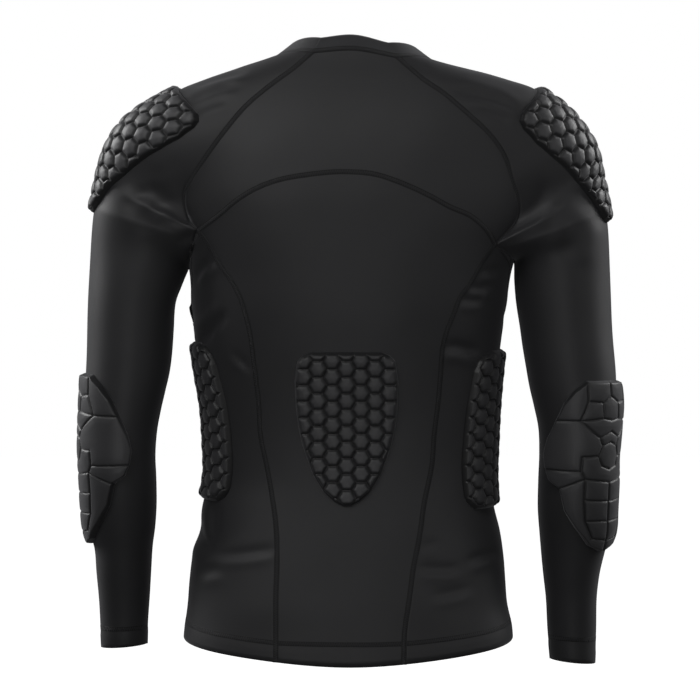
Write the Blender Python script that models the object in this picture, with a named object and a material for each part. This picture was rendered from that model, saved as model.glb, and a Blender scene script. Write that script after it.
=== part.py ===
"""Padded compression shirt, filled out as when it is worn, with a hollow inside.

The back faces +Y, the wearer's left is +X, up is +Z, and the origin is the middle of the neck.
Every table and length is in millimetres. Depths below the neck count downwards as "below".
Each panel of cloth is a grid between its seams, on one smooth trunk or on one sleeve tube.
"""

import bpy
import numpy as np
from mathutils.geometry import delaunay_2d_cdt

MM = 0.001

# Cloth
WALL = 1.2
HEM_WALL = 2.0
SEAM_GAP = 0.3
ARMPIT_GAP = 0.4
COLLAR_WIDTH = 22
COLLAR_LEAN_MIDDLE = 47
COLLAR_LEAN_SIDE = 58

# Foam pads, measured out from the cloth
TRUNK_PAD_SEAT = 1.0
SLEEVE_PAD_SEAT = 1.1
PAD_GROOVE = 4.4
PAD_TOP = 7.6
CELL_ACROSS = 17.7
CELL_BEVEL = 2.3
LEAST_CELL = 3.2
ELBOW_BEVEL = 1.9
ELBOW_LONGEST_STEP = 12
ELBOW_TOP_STEP = 15
ELBOW_UNDER_STEP = 11.5
ELBOW_INSIDE_CLEAR = 4

# How many grid steps each stretch of seam has
NECK_STEPS = 12
FRONT_NECK_STEPS = 4
RAGLAN_STEPS = 8
SCOOP_SHARES = [0.14, 0.5, 1]
LENGTH_STEPS = 16
SIDE_STEPS = 6
ROUND_STEPS = 16
ARM_STEPS = 14
COLLAR_STEPS = 1

# The trunk: below, half width on the left and on the right, depth to the back and to the front.
# Above the armpits the widths run on into the shoulders, where the raglan seams cut them off.
TRUNK = np.array([
    (-20, 130, 130, 54, 34),
    (0, 160, 160, 62, 50),
    (25, 195, 198, 74, 64),
    (55, 214, 218, 87, 80),
    (90, 219, 225, 98, 96),
    (125, 212, 222, 105, 108),
    (155, 203, 213, 109, 114),
    (180, 193, 202, 110, 118),
    (205, 184, 187, 110, 119),
    (232, 177, 178, 109, 119),
    (270, 174, 172, 106, 117),
    (310, 170, 166, 100, 113),
    (345, 165, 162, 94, 109),
    (380, 159, 159, 89, 106),
    (420, 156, 157, 85, 104),
    (465, 156, 156, 85, 104),
    (490, 162, 158, 88, 105),
    (520, 167, 165, 93, 107),
    (550, 174, 169, 98, 109),
    (575, 177, 171, 102, 110),
    (600, 179, 173, 106, 111),
    (625, 182, 178, 108, 112),
    (650, 184, 180, 110, 113),
    (690, 185, 181, 112, 114),
], float)
TRUNK_ROUNDNESS = 2.4

# Seams on the back, each point as x and below. The last raglan point is where all back seams meet.
RAGLAN_BACK = {
    "left": [(40, -5), (59, 12), (86, 32), (114, 56), (134, 80), (154, 107), (171, 133),
             (179, 148), (179, 164), (174, 178), (165, 189)],
    "right": [(50, 0), (61, 10), (81, 27), (99, 39), (117, 54), (132, 67), (154, 89),
              (169, 113), (175, 135), (182, 157), (182, 175), (170, 192), (157, 204)],
}
YOKE = [(165, 189), (143, 173), (121, 155), (99, 142), (77, 134), (44, 128), (5, 125), (-28, 128),
        (-55, 137), (-86, 151), (-106, 162), (-132, 174), (-149, 190), (-157, 204)]
SIDE_BACK = {
    "left": [(165, 189), (151, 209), (141, 225), (127, 245), (119, 260), (113, 278), (108, 300),
             (104, 331), (99, 374), (97, 410), (90, 445), (85, 473), (80, 509), (79, 540),
             (80, 583), (80, 652)],
    "right": [(157, 204), (143, 223), (129, 247), (118, 262), (112, 278), (105, 295), (100, 314),
              (98, 341), (96, 368), (91, 410), (89, 440), (80, 485), (75, 520), (69, 550),
              (64, 586), (59, 620), (58, 652)],
}

# The side panel's front seam, as degrees forward of the flank and below. It starts under the arm.
SIDE_FRONT = [(-10, 232), (-8, 252), (-4, 270), (6, 294), (17, 315), (25, 345), (31, 390),
              (36, 460), (39, 540), (40, 640)]

# The front, the same on both sides, each point as x and below
RAGLAN_FRONT = [(66, 47), (76, 72), (90, 100), (107, 130), (125, 162), (141, 192)]
NECK_FRONT = [(66, 47), (50, 63), (27, 75), (0, 79)]
NECK_BACK_MIDDLE = (-4, -8)

# Under the arm, the armhole's lowest point, and the hem's depth at the flank and at the middle
ARMPIT = {"left": 232, "right": 224}
HEM_FLANK = 636
HEM_MIDDLE = 659

# Shoulder and arm outline where the cloth ends against the background, as x and below
SHOULDER = {
    "left": [(90, 9), (128, 19), (163, 30), (184, 39), (204, 49), (227, 62), (245, 77),
             (261, 102), (270, 126), (277, 154), (281, 172), (284, 192), (286, 223)],
    "right": [(98, 13), (132, 19), (174, 29), (198, 37), (215, 48), (229, 58), (246, 75),
              (260, 95), (272, 132), (279, 162), (284, 190), (285, 207), (286, 222)],
}
# How far each raglan row's widest depth lies past its seams, from the neck to under the arm
RAGLAN_PAST = [-28, -32, -36, -40, -40, -38, -30, -14, 6, 24, 46, 57]

# Sleeve below the armpit: outer x and below, inner x and below, half depth, y of the middle
ARM = {
    "left": [(286, 223, 177, 232, 55, -4), (287, 245, 185, 251, 57, -4),
             (288, 268, 192, 271, 56, -3), (289, 297, 194, 299, 54, -2),
             (289, 322, 196, 324, 52, 0), (290, 344, 199, 346, 50, 1),
             (291, 366, 204, 368, 48, 2), (292, 388, 209, 390, 46, 2),
             (293, 411, 213, 412, 45, 1), (293, 438, 215, 438, 45, -1),
             (292, 465, 214, 465, 44, -5), (291, 493, 214, 492, 42, -10),
             (289, 520, 216, 518, 39, -15), (283, 543, 219, 540, 36, -20),
             (281, 570, 221, 568, 33, -26), (279, 597, 223, 595, 30, -32),
             (278, 624, 225, 623, 28, -38), (277, 655, 226, 651, 27, -43)],
    "right": [(286, 222, 178, 224, 55, -4), (286, 246, 181, 246, 57, -4),
              (287, 271, 183, 269, 56, -3), (288, 297, 187, 295, 54, -2),
              (290, 320, 190, 318, 52, 0), (292, 344, 194, 341, 50, 1),
              (293, 366, 198, 363, 48, 2), (294, 388, 203, 385, 46, 2),
              (292, 411, 208, 409, 45, 1), (290, 438, 209, 436, 45, -1),
              (290, 466, 208, 465, 44, -5), (289, 497, 208, 496, 42, -10),
              (288, 523, 210, 523, 39, -15), (283, 545, 212, 545, 36, -20),
              (277, 572, 215, 572, 33, -26), (274, 600, 218, 599, 30, -32),
              (274, 634, 220, 632, 28, -38), (273, 673, 223, 668, 27, -44)],
}

# Large folds: two ends as x and below, half breadth, depth (a ridge is negative), face (back 1)
FOLDS = [
    (155, 215, 176, 250, 9, 3.0, 1),
    (133, 268, 172, 312, 10, 3.5, 1),
    (172, 505, 150, 548, 9, 3.0, 1),
    (163, 540, 84, 533, 9, 2.6, 1),
    (-100, 313, -142, 322, 9, 3.4, 1),
    (-118, 262, -145, 264, 8, 2.4, 1),
    (-70, 551, -122, 554, 9, 2.6, 1),
    (-128, 547, -165, 541, 9, 2.8, 1),
    (-95, 590, -150, 580, 9, 2.0, 1),
    (200, 172, 226, 140, 14, 2.6, 1),
    (214, 196, 240, 158, 14, -1.8, 1),
    (-205, 205, -226, 150, 15, 3.0, 1),
    (-226, 225, -248, 165, 14, -2.2, 1),
    (175, 38, 112, 20, 10, 1.8, 1),
    (-186, 62, -120, 44, 11, 2.0, 1),
    (150, 262, 172, 300, 10, 3.0, -1),
    (-150, 258, -170, 296, 10, 3.0, -1),
    (150, 545, 90, 552, 10, 2.4, -1),
    (-150, 548, -88, 544, 10, 2.4, -1),
    (196, 205, 228, 168, 14, 2.6, -1),
    (-196, 208, -230, 170, 14, 2.6, -1),
]

# Pads: distance down the pad and half width there
TAIL_PAD = [(0, 38), (4, 47), (10, 52.6), (32, 55.5), (60, 54.5), (82, 52), (101, 48), (133, 37),
            (153, 25), (163, 14), (168, 4)]
TAIL_PAD_TOP = (3.5, 319)
RIB_PAD = [(0, 20), (3, 32), (10, 41), (22, 46), (60, 48.5), (120, 49.5), (160, 48), (168, 44),
           (173, 36)]
RIB_PAD_TOP = {"left": (6, 312), "right": (9, 320)}
SHOULDER_PAD = [(0, 44), (4, 53), (12, 58), (30, 60), (50, 56), (75, 47), (100, 38), (125, 29),
                (150, 21), (161, 15), (168, 7)]
SHOULDER_PAD_START = {"left": 108, "right": 110}
# How far the top of its middle line lies behind the arm's outermost line, and how it is turned
SHOULDER_PAD_BACK = {"left": 48, "right": 38}
SHOULDER_PAD_TILT = {"left": 14, "right": 8}
ELBOW_PAD_TOP = {"left": 345, "right": 352}
ELBOW_PAD_TURN = {"left": 80, "right": 46}

# Elbow pad: corners as v (across) and u (down), the cells as runs of corners.
# A lower-case letter is the corner's mirror image on the other side of the middle line.
ELBOW_CORNERS = {
    "A": (26, 2), "B": (40, 13), "C": (52, 27), "D": (61, 46), "E": (70, 66), "F": (75, 84),
    "G": (72, 100), "H": (66, 113), "I": (54, 121), "J": (47, 146), "K": (34, 166), "L": (18, 186),
    "M": (26, 24), "N": (11, 26), "O": (10, 43), "P": (27, 132), "Q": (34, 46), "R": (25, 155),
    "S": (14, 64), "T": (17, 175), "U": (10, 73), "V": (14, 84), "W": (10, 95), "X": (31, 101),
    "Y": (30, 85), "Z": (27, 109),
    "1": (0, 2), "2": (0, 19), "3": (0, 45), "4": (0, 57), "5": (0, 69), "6": (0, 99),
    "7": (0, 113), "8": (0, 134), "9": (0, 156), "0": (0, 178), "-": (0, 194),
}
ELBOW_CELLS = ["1AMN2", "NMQO", "ABCDQM", "2NO3on", "3OQS4sqo", "4SU5us", "5UVW6wvu", "DEFGXYVUSQ",
               "YVW6wvyxz7ZX", "GHIZX", "7ZP8", "8PR9", "9RT0", "IJKL-0TRPZ"]


def cubic(places, values, at):
    """Smooth cubic curve through the values at the places, read at any array of places."""
    slopes = np.gradient(values, places, axis=0)
    low = np.clip(np.searchsorted(places, at, side="right") - 1, 0, len(places) - 2)
    span = (places[low + 1] - places[low])[..., None]
    t = (at - places[low])[..., None] / span
    start = (1 + 2 * t) * (1 - t) ** 2 * values[low] + t * (1 - t) ** 2 * span * slopes[low]
    end = t * t * (3 - 2 * t) * values[low + 1] - t * t * (1 - t) * span * slopes[low + 1]
    return start + end


def even_points(points, steps):
    """Points at even distances along the smooth curve through the given points."""
    points = np.array(points, float)
    along = np.concatenate([[0], np.cumsum(np.linalg.norm(np.diff(points, axis=0), axis=1))])
    return cubic(along, points, np.linspace(0, along[-1], steps + 1))


def unit(vectors):
    return vectors / np.linalg.norm(vectors, axis=-1, keepdims=True)


def trunk_sizes(below):
    return np.moveaxis(cubic(TRUNK[:, 0], TRUNK[:, 1:], np.asarray(below, float)), -1, 0)


def trunk(angle, below):
    """Points of the trunk, by the angle from the wearer's left towards the back."""
    left, right, back, front = trunk_sizes(below)
    across = np.where(np.cos(angle) > 0, left, right)
    deep = np.where(np.sin(angle) > 0, back, front)
    power = TRUNK_ROUNDNESS
    reach = np.abs(np.cos(angle) / across) ** power + np.abs(np.sin(angle) / deep) ** power
    reach = reach ** (-1 / power)
    height = -np.asarray(below, float) + 0 * reach
    return np.stack([reach * np.cos(angle), reach * np.sin(angle), height], axis=-1)


def trunk_normal(angle, below):
    """Outward normals of the trunk."""
    round_step = trunk(angle + 0.01, below) - trunk(angle - 0.01, below)
    down_step = trunk(angle, below + 1) - trunk(angle, below - 1)
    return unit(np.cross(down_step, round_step))


def trunk_angle(points, face):
    """The angle of the trunk's point at each x and below, on the back (1) or the front (-1)."""
    x, below = np.array(points, float).T
    left, right, back, front = trunk_sizes(below)
    share = np.clip(np.abs(x) / np.where(x > 0, left, right), 0, 1)
    deep = back if face > 0 else front
    y = face * deep * (1 - share ** TRUNK_ROUNDNESS) ** (1 / TRUNK_ROUNDNESS)
    return np.stack([np.arctan2(y, x), below], axis=-1)


def mirrored(points, side):
    return [(x if side == "left" else -x, below) for x, below in points]


def own_angle(seam, side):
    """Turns angles into angles from the side's own flank, back positive, so that sides match."""
    if side == "right":
        seam = np.stack([np.pi - seam[:, 0], seam[:, 1]], axis=-1)
    turn = (seam[:, 0] + np.pi) % (2 * np.pi) - np.pi
    return np.stack([turn, seam[:, 1]], axis=-1)


def whole_angle(seam, side, front=False):
    """Turns angles from a flank back into whole angles, which run on round the front if asked."""
    if side == "left":
        return seam
    half_turn = -np.pi if front else np.pi
    return np.stack([half_turn - seam[:, 0], seam[:, 1]], axis=-1)


def scoop(meeting, low):
    """The armhole's round bottom: from a seam's end down to the lowest point, at the flank."""
    t = np.array(SCOOP_SHARES)[:, None]
    angle = meeting[0] * (1 - t)
    below = low + (meeting[1] - low) * (1 - t) ** 2
    return np.hstack([angle, below])


def armhole(side, face):
    """One face of an armhole, from the neck to the lowest point, as own angles and below."""
    table = RAGLAN_BACK[side] if face > 0 else RAGLAN_FRONT
    steps = RAGLAN_STEPS
    seam = trunk_angle(even_points(mirrored(table, side), steps), face)
    seam = own_angle(seam, side)
    return np.vstack([seam, scoop(seam[-1], ARMPIT[side])])


def hem(own):
    """How far below the neck the hem is, at an angle from a flank."""
    return HEM_FLANK + (HEM_MIDDLE - HEM_FLANK) * np.abs(np.sin(own))


def side_seam_front(side):
    """The side panel's front seam, from the armhole's first scoop point down to the hem."""
    first = armhole(side, 1)[RAGLAN_STEPS + 1]
    rest = [(-np.radians(degrees), below) for degrees, below in SIDE_FRONT]
    points = np.array([tuple(first)] + rest)
    points[-1, 1] = hem(points[-1, 0])
    scaled = even_points(points * (150, 1), LENGTH_STEPS)
    return scaled / (150, 1)


def side_seam_back(side):
    points = mirrored(SIDE_BACK[side], side)
    seam = own_angle(trunk_angle(even_points(points, LENGTH_STEPS), 1), side)
    seam[-1, 1] = hem(seam[-1, 0])
    return seam


def patch(top, bottom, start, end):
    """Grid of rows between four edges, which share their corners (a Coons patch)."""
    u = np.linspace(0, 1, len(top))[None, :, None]
    v = np.linspace(0, 1, len(start))[:, None, None]
    across = (1 - u) * start[:, None] + u * end[:, None]
    down = (1 - v) * top[None] + v * bottom[None]
    corners = (1 - v) * ((1 - u) * top[0] + u * top[-1])
    corners = corners + v * ((1 - u) * bottom[0] + u * bottom[-1])
    return across + down - corners


def hem_between(first, last, steps):
    angle = np.linspace(first, last, steps + 1)
    return np.stack([angle, hem(angle)], axis=-1)


def neck_back():
    ends = [RAGLAN_BACK["left"][0], NECK_BACK_MIDDLE, mirrored(RAGLAN_BACK["right"], "right")[0]]
    return trunk_angle(even_points(ends, NECK_STEPS), 1)


def neck_front():
    left = [(x, below) for x, below in NECK_FRONT]
    right = [(-x, below) for x, below in NECK_FRONT[-2::-1]]
    return trunk_angle(even_points(left + right, FRONT_NECK_STEPS), -1)


def upper_back():
    left = armhole("left", 1)[:RAGLAN_STEPS + 1]
    right = whole_angle(armhole("right", 1)[:RAGLAN_STEPS + 1], "right")
    return patch(neck_back(), yoke_seam(), left, right)


def yoke_seam():
    return trunk_angle(even_points(YOKE, NECK_STEPS), 1)


def centre_back():
    left = side_seam_back("left")
    right = whole_angle(side_seam_back("right"), "right")
    bottom = hem_between(left[-1, 0], right[-1, 0], NECK_STEPS)
    return patch(yoke_seam(), bottom, left, right)


def side_panel(side):
    back = side_seam_back(side)
    front = side_seam_front(side)
    top = np.linspace(back[0], front[0], SIDE_STEPS + 1)
    bottom = hem_between(back[-1, 0], front[-1, 0], SIDE_STEPS)
    grid = patch(top, bottom, back, front)
    return whole_angle(grid.reshape(-1, 2), side).reshape(grid.shape)


def front_panel():
    """Its top edge runs under one arm, up the raglan seam, round the neck and down again."""
    tops = {}
    for side in ("left", "right"):
        under = armhole(side, 1)[RAGLAN_STEPS + 1:]
        up = armhole(side, -1)[::-1]
        tops[side] = whole_angle(np.vstack([under, up[1:]]), side, front=True)
    top = np.vstack([tops["left"], neck_front()[1:-1], tops["right"][::-1]])
    left = side_seam_front("left")
    right = whole_angle(side_seam_front("right"), "right", front=True)
    angle = np.linspace(left[-1, 0], right[-1, 0], len(top))
    bottom = np.stack([angle, hem(angle)], axis=-1)
    return patch(top, bottom, left, right)


class Sleeve:
    """Tube of ellipses. Each row has a back seam, a front seam and an outermost point."""

    def __init__(self, side):
        sign = 1 if side == "left" else -1
        back = armhole(side, 1)
        front = armhole(side, -1)
        back = trunk(whole_angle(back, side)[:, 0], back[:, 1])
        front = trunk(whole_angle(front, side)[:, 0], front[:, 1])
        # Under the arm the sleeve folds back beside the trunk, so it stands a little further off
        back[RAGLAN_STEPS + 1:, 0] += sign * ARMPIT_GAP
        front[RAGLAN_STEPS + 1:, 0] += sign * ARMPIT_GAP
        raglan_rows = len(back)
        outline = even_points(SHOULDER[side], raglan_rows - 1)
        arm = np.array(ARM[side], float)
        level = np.linspace(0, 1, raglan_rows) ** 2 * arm[0, 5]
        outer = np.stack([sign * outline[:, 0], level, -outline[:, 1]], axis=-1)
        arm_outer = np.stack([sign * arm[:, 0], arm[:, 5], -arm[:, 1]], axis=-1)
        arm_inner = np.stack([sign * arm[:, 2], arm[:, 5], -arm[:, 3]], axis=-1)
        arm_inner[0] = back[-1]
        self.back = np.vstack([back, arm_inner[1:]])
        self.front = np.vstack([front, arm_inner[1:]])
        self.outer = np.vstack([outer, arm_outer[1:]])
        past = np.concatenate([RAGLAN_PAST, arm[1:, 4]])
        self.past = past[:, None]
        self.rows = np.arange(len(past), dtype=float)
        steps = np.linalg.norm(np.diff(self.outer, axis=0), axis=1)
        self.along = np.concatenate([[0], np.cumsum(steps)])
        raglan = np.arange(raglan_rows)
        arm_rows = np.linspace(raglan[-1], self.rows[-1], ARM_STEPS + 1)
        self.grid_rows = np.concatenate([raglan, arm_rows[1:]])

    def frame(self, row):
        """Middle, outward half axis, backward half axis and start angle of the rows' ellipses."""
        both = np.hstack([self.back, self.front, self.outer, self.past])
        both = cubic(self.rows, both, np.asarray(row, float))
        back, front, outer, past = both[..., :3], both[..., 3:6], both[..., 6:9], both[..., 9:]
        middle = (back + front) / 2
        half = np.linalg.norm(back - front, axis=-1, keepdims=True) / 2
        half = np.where(np.asarray(row)[..., None] > len(RAGLAN_PAST) - 1, 0, half)
        straight = np.array([0.0, 1.0, 0.0])
        backward = np.where(half > 1, (back - front) / (2 * np.maximum(half, 1)), straight)
        deep = np.sqrt(half ** 2 + past ** 2)
        sine = past / deep
        reach = np.linalg.norm(outer - middle, axis=-1, keepdims=True)
        outward = (outer - middle) / reach
        wide = reach / (1 + sine)
        return outer - wide * outward, wide * outward, deep * backward, np.arcsin(sine)[..., 0]

    def turned(self, row, turn):
        """Points at a turn round the rows: 0 is straight back, a quarter turn is outermost."""
        centre, outward, backward, _ = self.frame(row)
        turn = np.asarray(turn)[..., None]
        return centre + outward * np.sin(turn) + backward * np.cos(turn)

    def grid(self):
        row = self.grid_rows[:, None] + np.zeros(ROUND_STEPS + 1)
        start = self.frame(self.grid_rows)[3][:, None]
        share = np.linspace(0, 1, ROUND_STEPS + 1)
        return self.turned(row, -start + share * (np.pi + 2 * start))

    def pad_place(self, start, turn, back=0, tilt=0):
        """Maps distances down and across a pad to points and normals on the tube."""
        sine, cosine = np.sin(np.radians(tilt)), np.cos(np.radians(tilt))

        def place(down, across):
            down, across = down * cosine + across * sine, back + across * cosine - down * sine
            row = np.interp(start + down, self.along, self.rows)
            angle = np.full(np.shape(down), turn, float)
            for _ in range(16):
                step = self.turned(row, angle + 0.01) - self.turned(row, angle - 0.01)
                speed = np.linalg.norm(step, axis=-1) / 0.02
                angle = angle - across / 16 / speed
            round_step = self.turned(row, angle + 0.01) - self.turned(row, angle - 0.01)
            down_step = self.turned(row + 0.05, angle) - self.turned(row - 0.05, angle)
            points = self.turned(row, angle)
            normal = unit(np.cross(round_step, down_step))
            outward = points - self.frame(row)[0]
            sign = np.sign(np.sum(normal * outward, axis=-1, keepdims=True))
            return points, normal * sign
        return place


def trunk_pad_place(angle, top):
    """Maps distances down and across a pad to points and normals on the trunk."""
    def place(down, across):
        below = top + down
        turn = np.full(np.shape(down), angle, float)
        for _ in range(16):
            step = trunk(turn + 0.01, below) - trunk(turn - 0.01, below)
            turn = turn + across / 16 / (np.linalg.norm(step, axis=-1) / 0.02)
        return trunk(turn, below), trunk_normal(turn, below)
    return place


def folded(points, normals):
    """Moves the cloth in along its normals where a large fold runs, softly at the fold's ends."""
    moved = points.copy()
    for x1, below1, x2, below2, breadth, depth, face in FOLDS:
        start = np.array([x1, -below1], float)
        run = np.array([x2, -below2], float) - start
        offset = points[..., [0, 2]] - start
        share = np.clip(offset @ run / (run @ run), 0, 1)
        away = np.linalg.norm(offset - share[..., None] * run, axis=-1)
        facing = np.clip((face * points[..., 1] + 12) / 24, 0, 1)
        amount = depth * np.exp(-((away / breadth) ** 2)) * facing
        moved -= amount[..., None] * normals
    return moved


def grid_normals(grid, inside):
    """Outward normals of a grid, where inside holds a point within the tube for each row."""
    along = np.gradient(grid, axis=1)
    down = np.gradient(grid, axis=0)
    normal = unit(np.cross(along, down))
    outward = np.sum(normal * (grid - inside[:, None]), axis=-1)
    return normal if outward.mean() > 0 else -normal


def shared_normals(grids, normals):
    """Gives points where pieces meet one common normal, so that their rims are parallel."""
    points = np.concatenate([grid.reshape(-1, 3) for grid in grids])
    flat = np.concatenate([normal.reshape(-1, 3) for normal in normals])
    _, index = np.unique(np.round(points, 2), axis=0, return_inverse=True)
    index = index.reshape(-1)
    total = np.zeros((index.max() + 1, 3))
    np.add.at(total, index, flat)
    common = unit(total)[index]
    ends = np.cumsum([grid.shape[0] * grid.shape[1] for grid in grids])[:-1]
    return [part.reshape(grid.shape) for part, grid in zip(np.split(common, ends), grids)]


def drawn_in(grid, normals):
    """Moves a grid's four edges in by half the seam gap, square to each edge, mitred at corners."""
    along = np.gradient(grid, axis=1)
    down = np.gradient(grid, axis=0)
    moves = {}
    for end, inward in ((0, 1), (-1, -1)):
        step = unit(np.cross(normals[end], along[end]))
        moves["row", end] = step * np.sign(np.sum(step * down[end], axis=-1, keepdims=True)) * inward
        step = unit(np.cross(normals[:, end], down[:, end]))
        sign = np.sign(np.sum(step * along[:, end], axis=-1, keepdims=True)) * inward
        moves["column", end] = step * sign
    moved = grid.copy()
    for end in (0, -1):
        moved[end, 1:-1] += moves["row", end][1:-1] * SEAM_GAP / 2
        moved[1:-1, end] += moves["column", end][1:-1] * SEAM_GAP / 2
        for other in (0, -1):
            first, second = moves["row", end][other], moves["column", other][end]
            moved[end, other] += (first + second) / (1.02 + first @ second) * SEAM_GAP / 2
    return moved


def grid_faces(rows, columns, first=0):
    corner = first + (np.arange(rows - 1)[:, None] * columns + np.arange(columns - 1)).ravel()
    return np.stack([corner, corner + 1, corner + columns + 1, corner + columns], axis=-1)


def rim_loop(rows, columns):
    """Indices round the edge of a grid, in order."""
    index = np.arange(rows * columns).reshape(rows, columns)
    parts = [index[0, :-1], index[:-1, -1], index[-1, :0:-1], index[:0:-1, 0]]
    return np.concatenate(parts)


def signed_volume(points, faces):
    total = 0.0
    for face in faces:
        corners = points[list(face)]
        for second, third in zip(corners[1:-1], corners[2:]):
            total += np.dot(corners[0], np.cross(second, third))
    return total / 6


def cloth_solid(outer, normals, wall):
    """Closed wall of cloth: the outer grid, an inner grid moved in, and a rim between them."""
    rows, columns = outer.shape[:2]
    inner = outer - wall[..., None] * normals
    count = rows * columns
    points = np.vstack([outer.reshape(-1, 3), inner.reshape(-1, 3)])
    faces = np.vstack([grid_faces(rows, columns), grid_faces(rows, columns, count)[:, ::-1]])
    faces = faces.tolist()
    # The two rims of a seam get the same diagonals, so that they stay parallel
    loop = rim_loop(rows, columns)
    level = points @ (0.37, 0.21, 1)
    for a, b in zip(loop.tolist(), np.roll(loop, -1).tolist()):
        if level[a] > level[b]:
            faces += [[a, a + count, b + count], [a, b + count, b]]
        else:
            faces += [[a, a + count, b], [a + count, b + count, b]]
    if signed_volume(points, faces) < 0:
        faces = [face[::-1] for face in faces]
    return points, faces


def hem_wall(shape, hemmed):
    """Wall of each grid point: thicker on the last row, where the edge is turned and sewn."""
    wall = np.full(shape, float(WALL))
    if hemmed:
        wall[-1] = HEM_WALL
    return wall


def collar_grid(neck_rings):
    """Band from the neck seam, leaning in towards the middle of the neck."""
    ring = np.vstack(neck_rings)
    keep = np.linalg.norm(np.diff(ring, axis=0), axis=1) > 0.01
    ring = np.vstack([ring[:1], ring[1:][keep]])
    middle = (ring.max(axis=0) + ring.min(axis=0)) / 2
    inward = unit((middle - ring) * (1, 1, 0))
    lean = COLLAR_LEAN_MIDDLE + (COLLAR_LEAN_SIDE - COLLAR_LEAN_MIDDLE) * np.abs(inward[:, :1]) ** 3
    lean = np.radians(lean)
    rise = np.cos(lean) * np.array([0, 0, 1.0]) + np.sin(lean) * inward
    share = np.linspace(1, 0, COLLAR_STEPS + 1)[:, None, None]
    return ring[None] + share * COLLAR_WIDTH * rise[None]


def clipped(cell, outline):
    """The part of a convex cell inside a convex outline, both anticlockwise."""
    for start, end in zip(outline, np.roll(outline, -1, axis=0)):
        edge = end - start
        out = []
        if len(cell) == 0:
            return cell
        sides = [edge[0] * (p[1] - start[1]) - edge[1] * (p[0] - start[0]) for p in cell]
        for i, point in enumerate(cell):
            here, ahead = sides[i], sides[(i + 1) % len(cell)]
            if here >= 0:
                out.append(point)
            if (here > 0 > ahead) or (here < 0 < ahead):
                following = cell[(i + 1) % len(cell)]
                out.append(point + (following - point) * here / (here - ahead))
        cell = np.array(out)
    return cell


def hexagon_cells(profile):
    """Hexagons in columns down a pad, cut off at its outline. Points are (across, down)."""
    profile = np.array(profile, float)
    right = np.stack([profile[:, 1], profile[:, 0]], axis=-1)
    left = np.stack([-profile[::-1, 1], profile[::-1, 0]], axis=-1)
    outline = np.vstack([right, left])
    radius = CELL_ACROSS / np.sqrt(3)
    turns = np.radians(np.arange(6) * 60)
    hexagon = radius * np.stack([np.cos(turns), np.sin(turns)], axis=-1)
    pitch = CELL_ACROSS * np.sqrt(3) / 2
    columns = int(np.ceil(profile[:, 1].max() / pitch)) + 1
    count = int(np.ceil(profile[-1, 0] / CELL_ACROSS)) + 2
    cells = []
    for column in range(-columns, columns + 1):
        for step in range(-1, count):
            middle = np.array([column * pitch, (step + 0.5 * (column % 2)) * CELL_ACROSS])
            cell = clipped(hexagon + middle, outline)
            if len(cell) > 2:
                cells.append(cell)
    return cells


def elbow_cells():
    """The moulded cells of an elbow pad, both halves. Points are (across, down)."""
    corners = {key: np.array(place, float) for key, place in ELBOW_CORNERS.items()}
    for key in [key for key in corners if key.isupper()]:
        corners[key.lower()] = corners[key] * (-1, 1)
    runs = list(ELBOW_CELLS)
    for run in ELBOW_CELLS:
        other = run.swapcase()
        if set(other) != set(run):
            runs.append(other[::-1])
    cells = [np.array([corners[key] for key in run]) for run in runs]
    return [cell if area(cell) > 0 else cell[::-1] for cell in cells]


def stepped(cell):
    """Divides a cell's long edges, so that the pad can bend round the arm between its corners."""
    points = []
    for start, end in zip(cell, np.roll(cell, -1, axis=0)):
        steps = int(np.ceil(np.linalg.norm(end - start) / ELBOW_LONGEST_STEP))
        points += [start + (end - start) * step / steps for step in range(steps)]
    return np.array(points)


def inset(cell, distance):
    """Moves every edge of an anticlockwise cell inwards by the same distance."""
    ahead = unit(np.roll(cell, -1, axis=0) - cell)
    square = np.stack([-ahead[:, 1], ahead[:, 0]], axis=-1)
    before = np.roll(square, 1, axis=0)
    share = 1 + np.sum(square * before, axis=1, keepdims=True)
    return cell + distance * (square + before) / share


def inside_points(rim, apart):
    """Points of an even lattice that lie inside a closed outline and clear of its edges."""
    steps = [np.arange(np.ceil(low / apart), high / apart)
             for low, high in zip(rim.min(axis=0), rim.max(axis=0))]
    points = np.stack(np.meshgrid(*steps), axis=-1).reshape(-1, 1, 2) * apart
    edge = np.roll(rim, -1, axis=0) - rim
    offset = points - rim
    share = np.clip(np.sum(offset * edge, axis=-1) / np.sum(edge ** 2, axis=-1), 0, 1)
    away = np.linalg.norm(offset - share[..., None] * edge, axis=-1).min(axis=1)
    spans = (offset[..., 1] < 0) != (offset[..., 1] < edge[:, 1])
    beyond = (offset[..., 0] * edge[:, 1] < offset[..., 1] * edge[:, 0]) == (edge[:, 1] > 0)
    inside = np.sum(spans & beyond, axis=1) % 2 == 1
    return points[inside & (away > ELBOW_INSIDE_CLEAR), 0]


def triangles(points, loops):
    """Triangles that fill the flat loops, each loop being indices of its points."""
    edges = [(int(a), int(b)) for loop in loops for a, b in zip(loop, np.roll(loop, -1))]
    found = delaunay_2d_cdt([tuple(point) for point in points], edges, [], 1, 1e-4)
    source = [min(kept) for kept in found[3]]
    return [tuple(source[corner] for corner in face) for face in found[2]]


def area(cell):
    x, y = cell.T
    return 0.5 * np.sum(x * np.roll(y, -1) - y * np.roll(x, -1))


def inner_radius(cell):
    middle = cell.mean(axis=0)
    edges = np.roll(cell, -1, axis=0) - cell
    length = np.linalg.norm(edges, axis=1)
    offset = middle - cell
    away = np.abs(edges[:, 0] * offset[:, 1] - edges[:, 1] * offset[:, 0]) / np.maximum(length, 1e-6)
    return away[length > 0.05].min()


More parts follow.
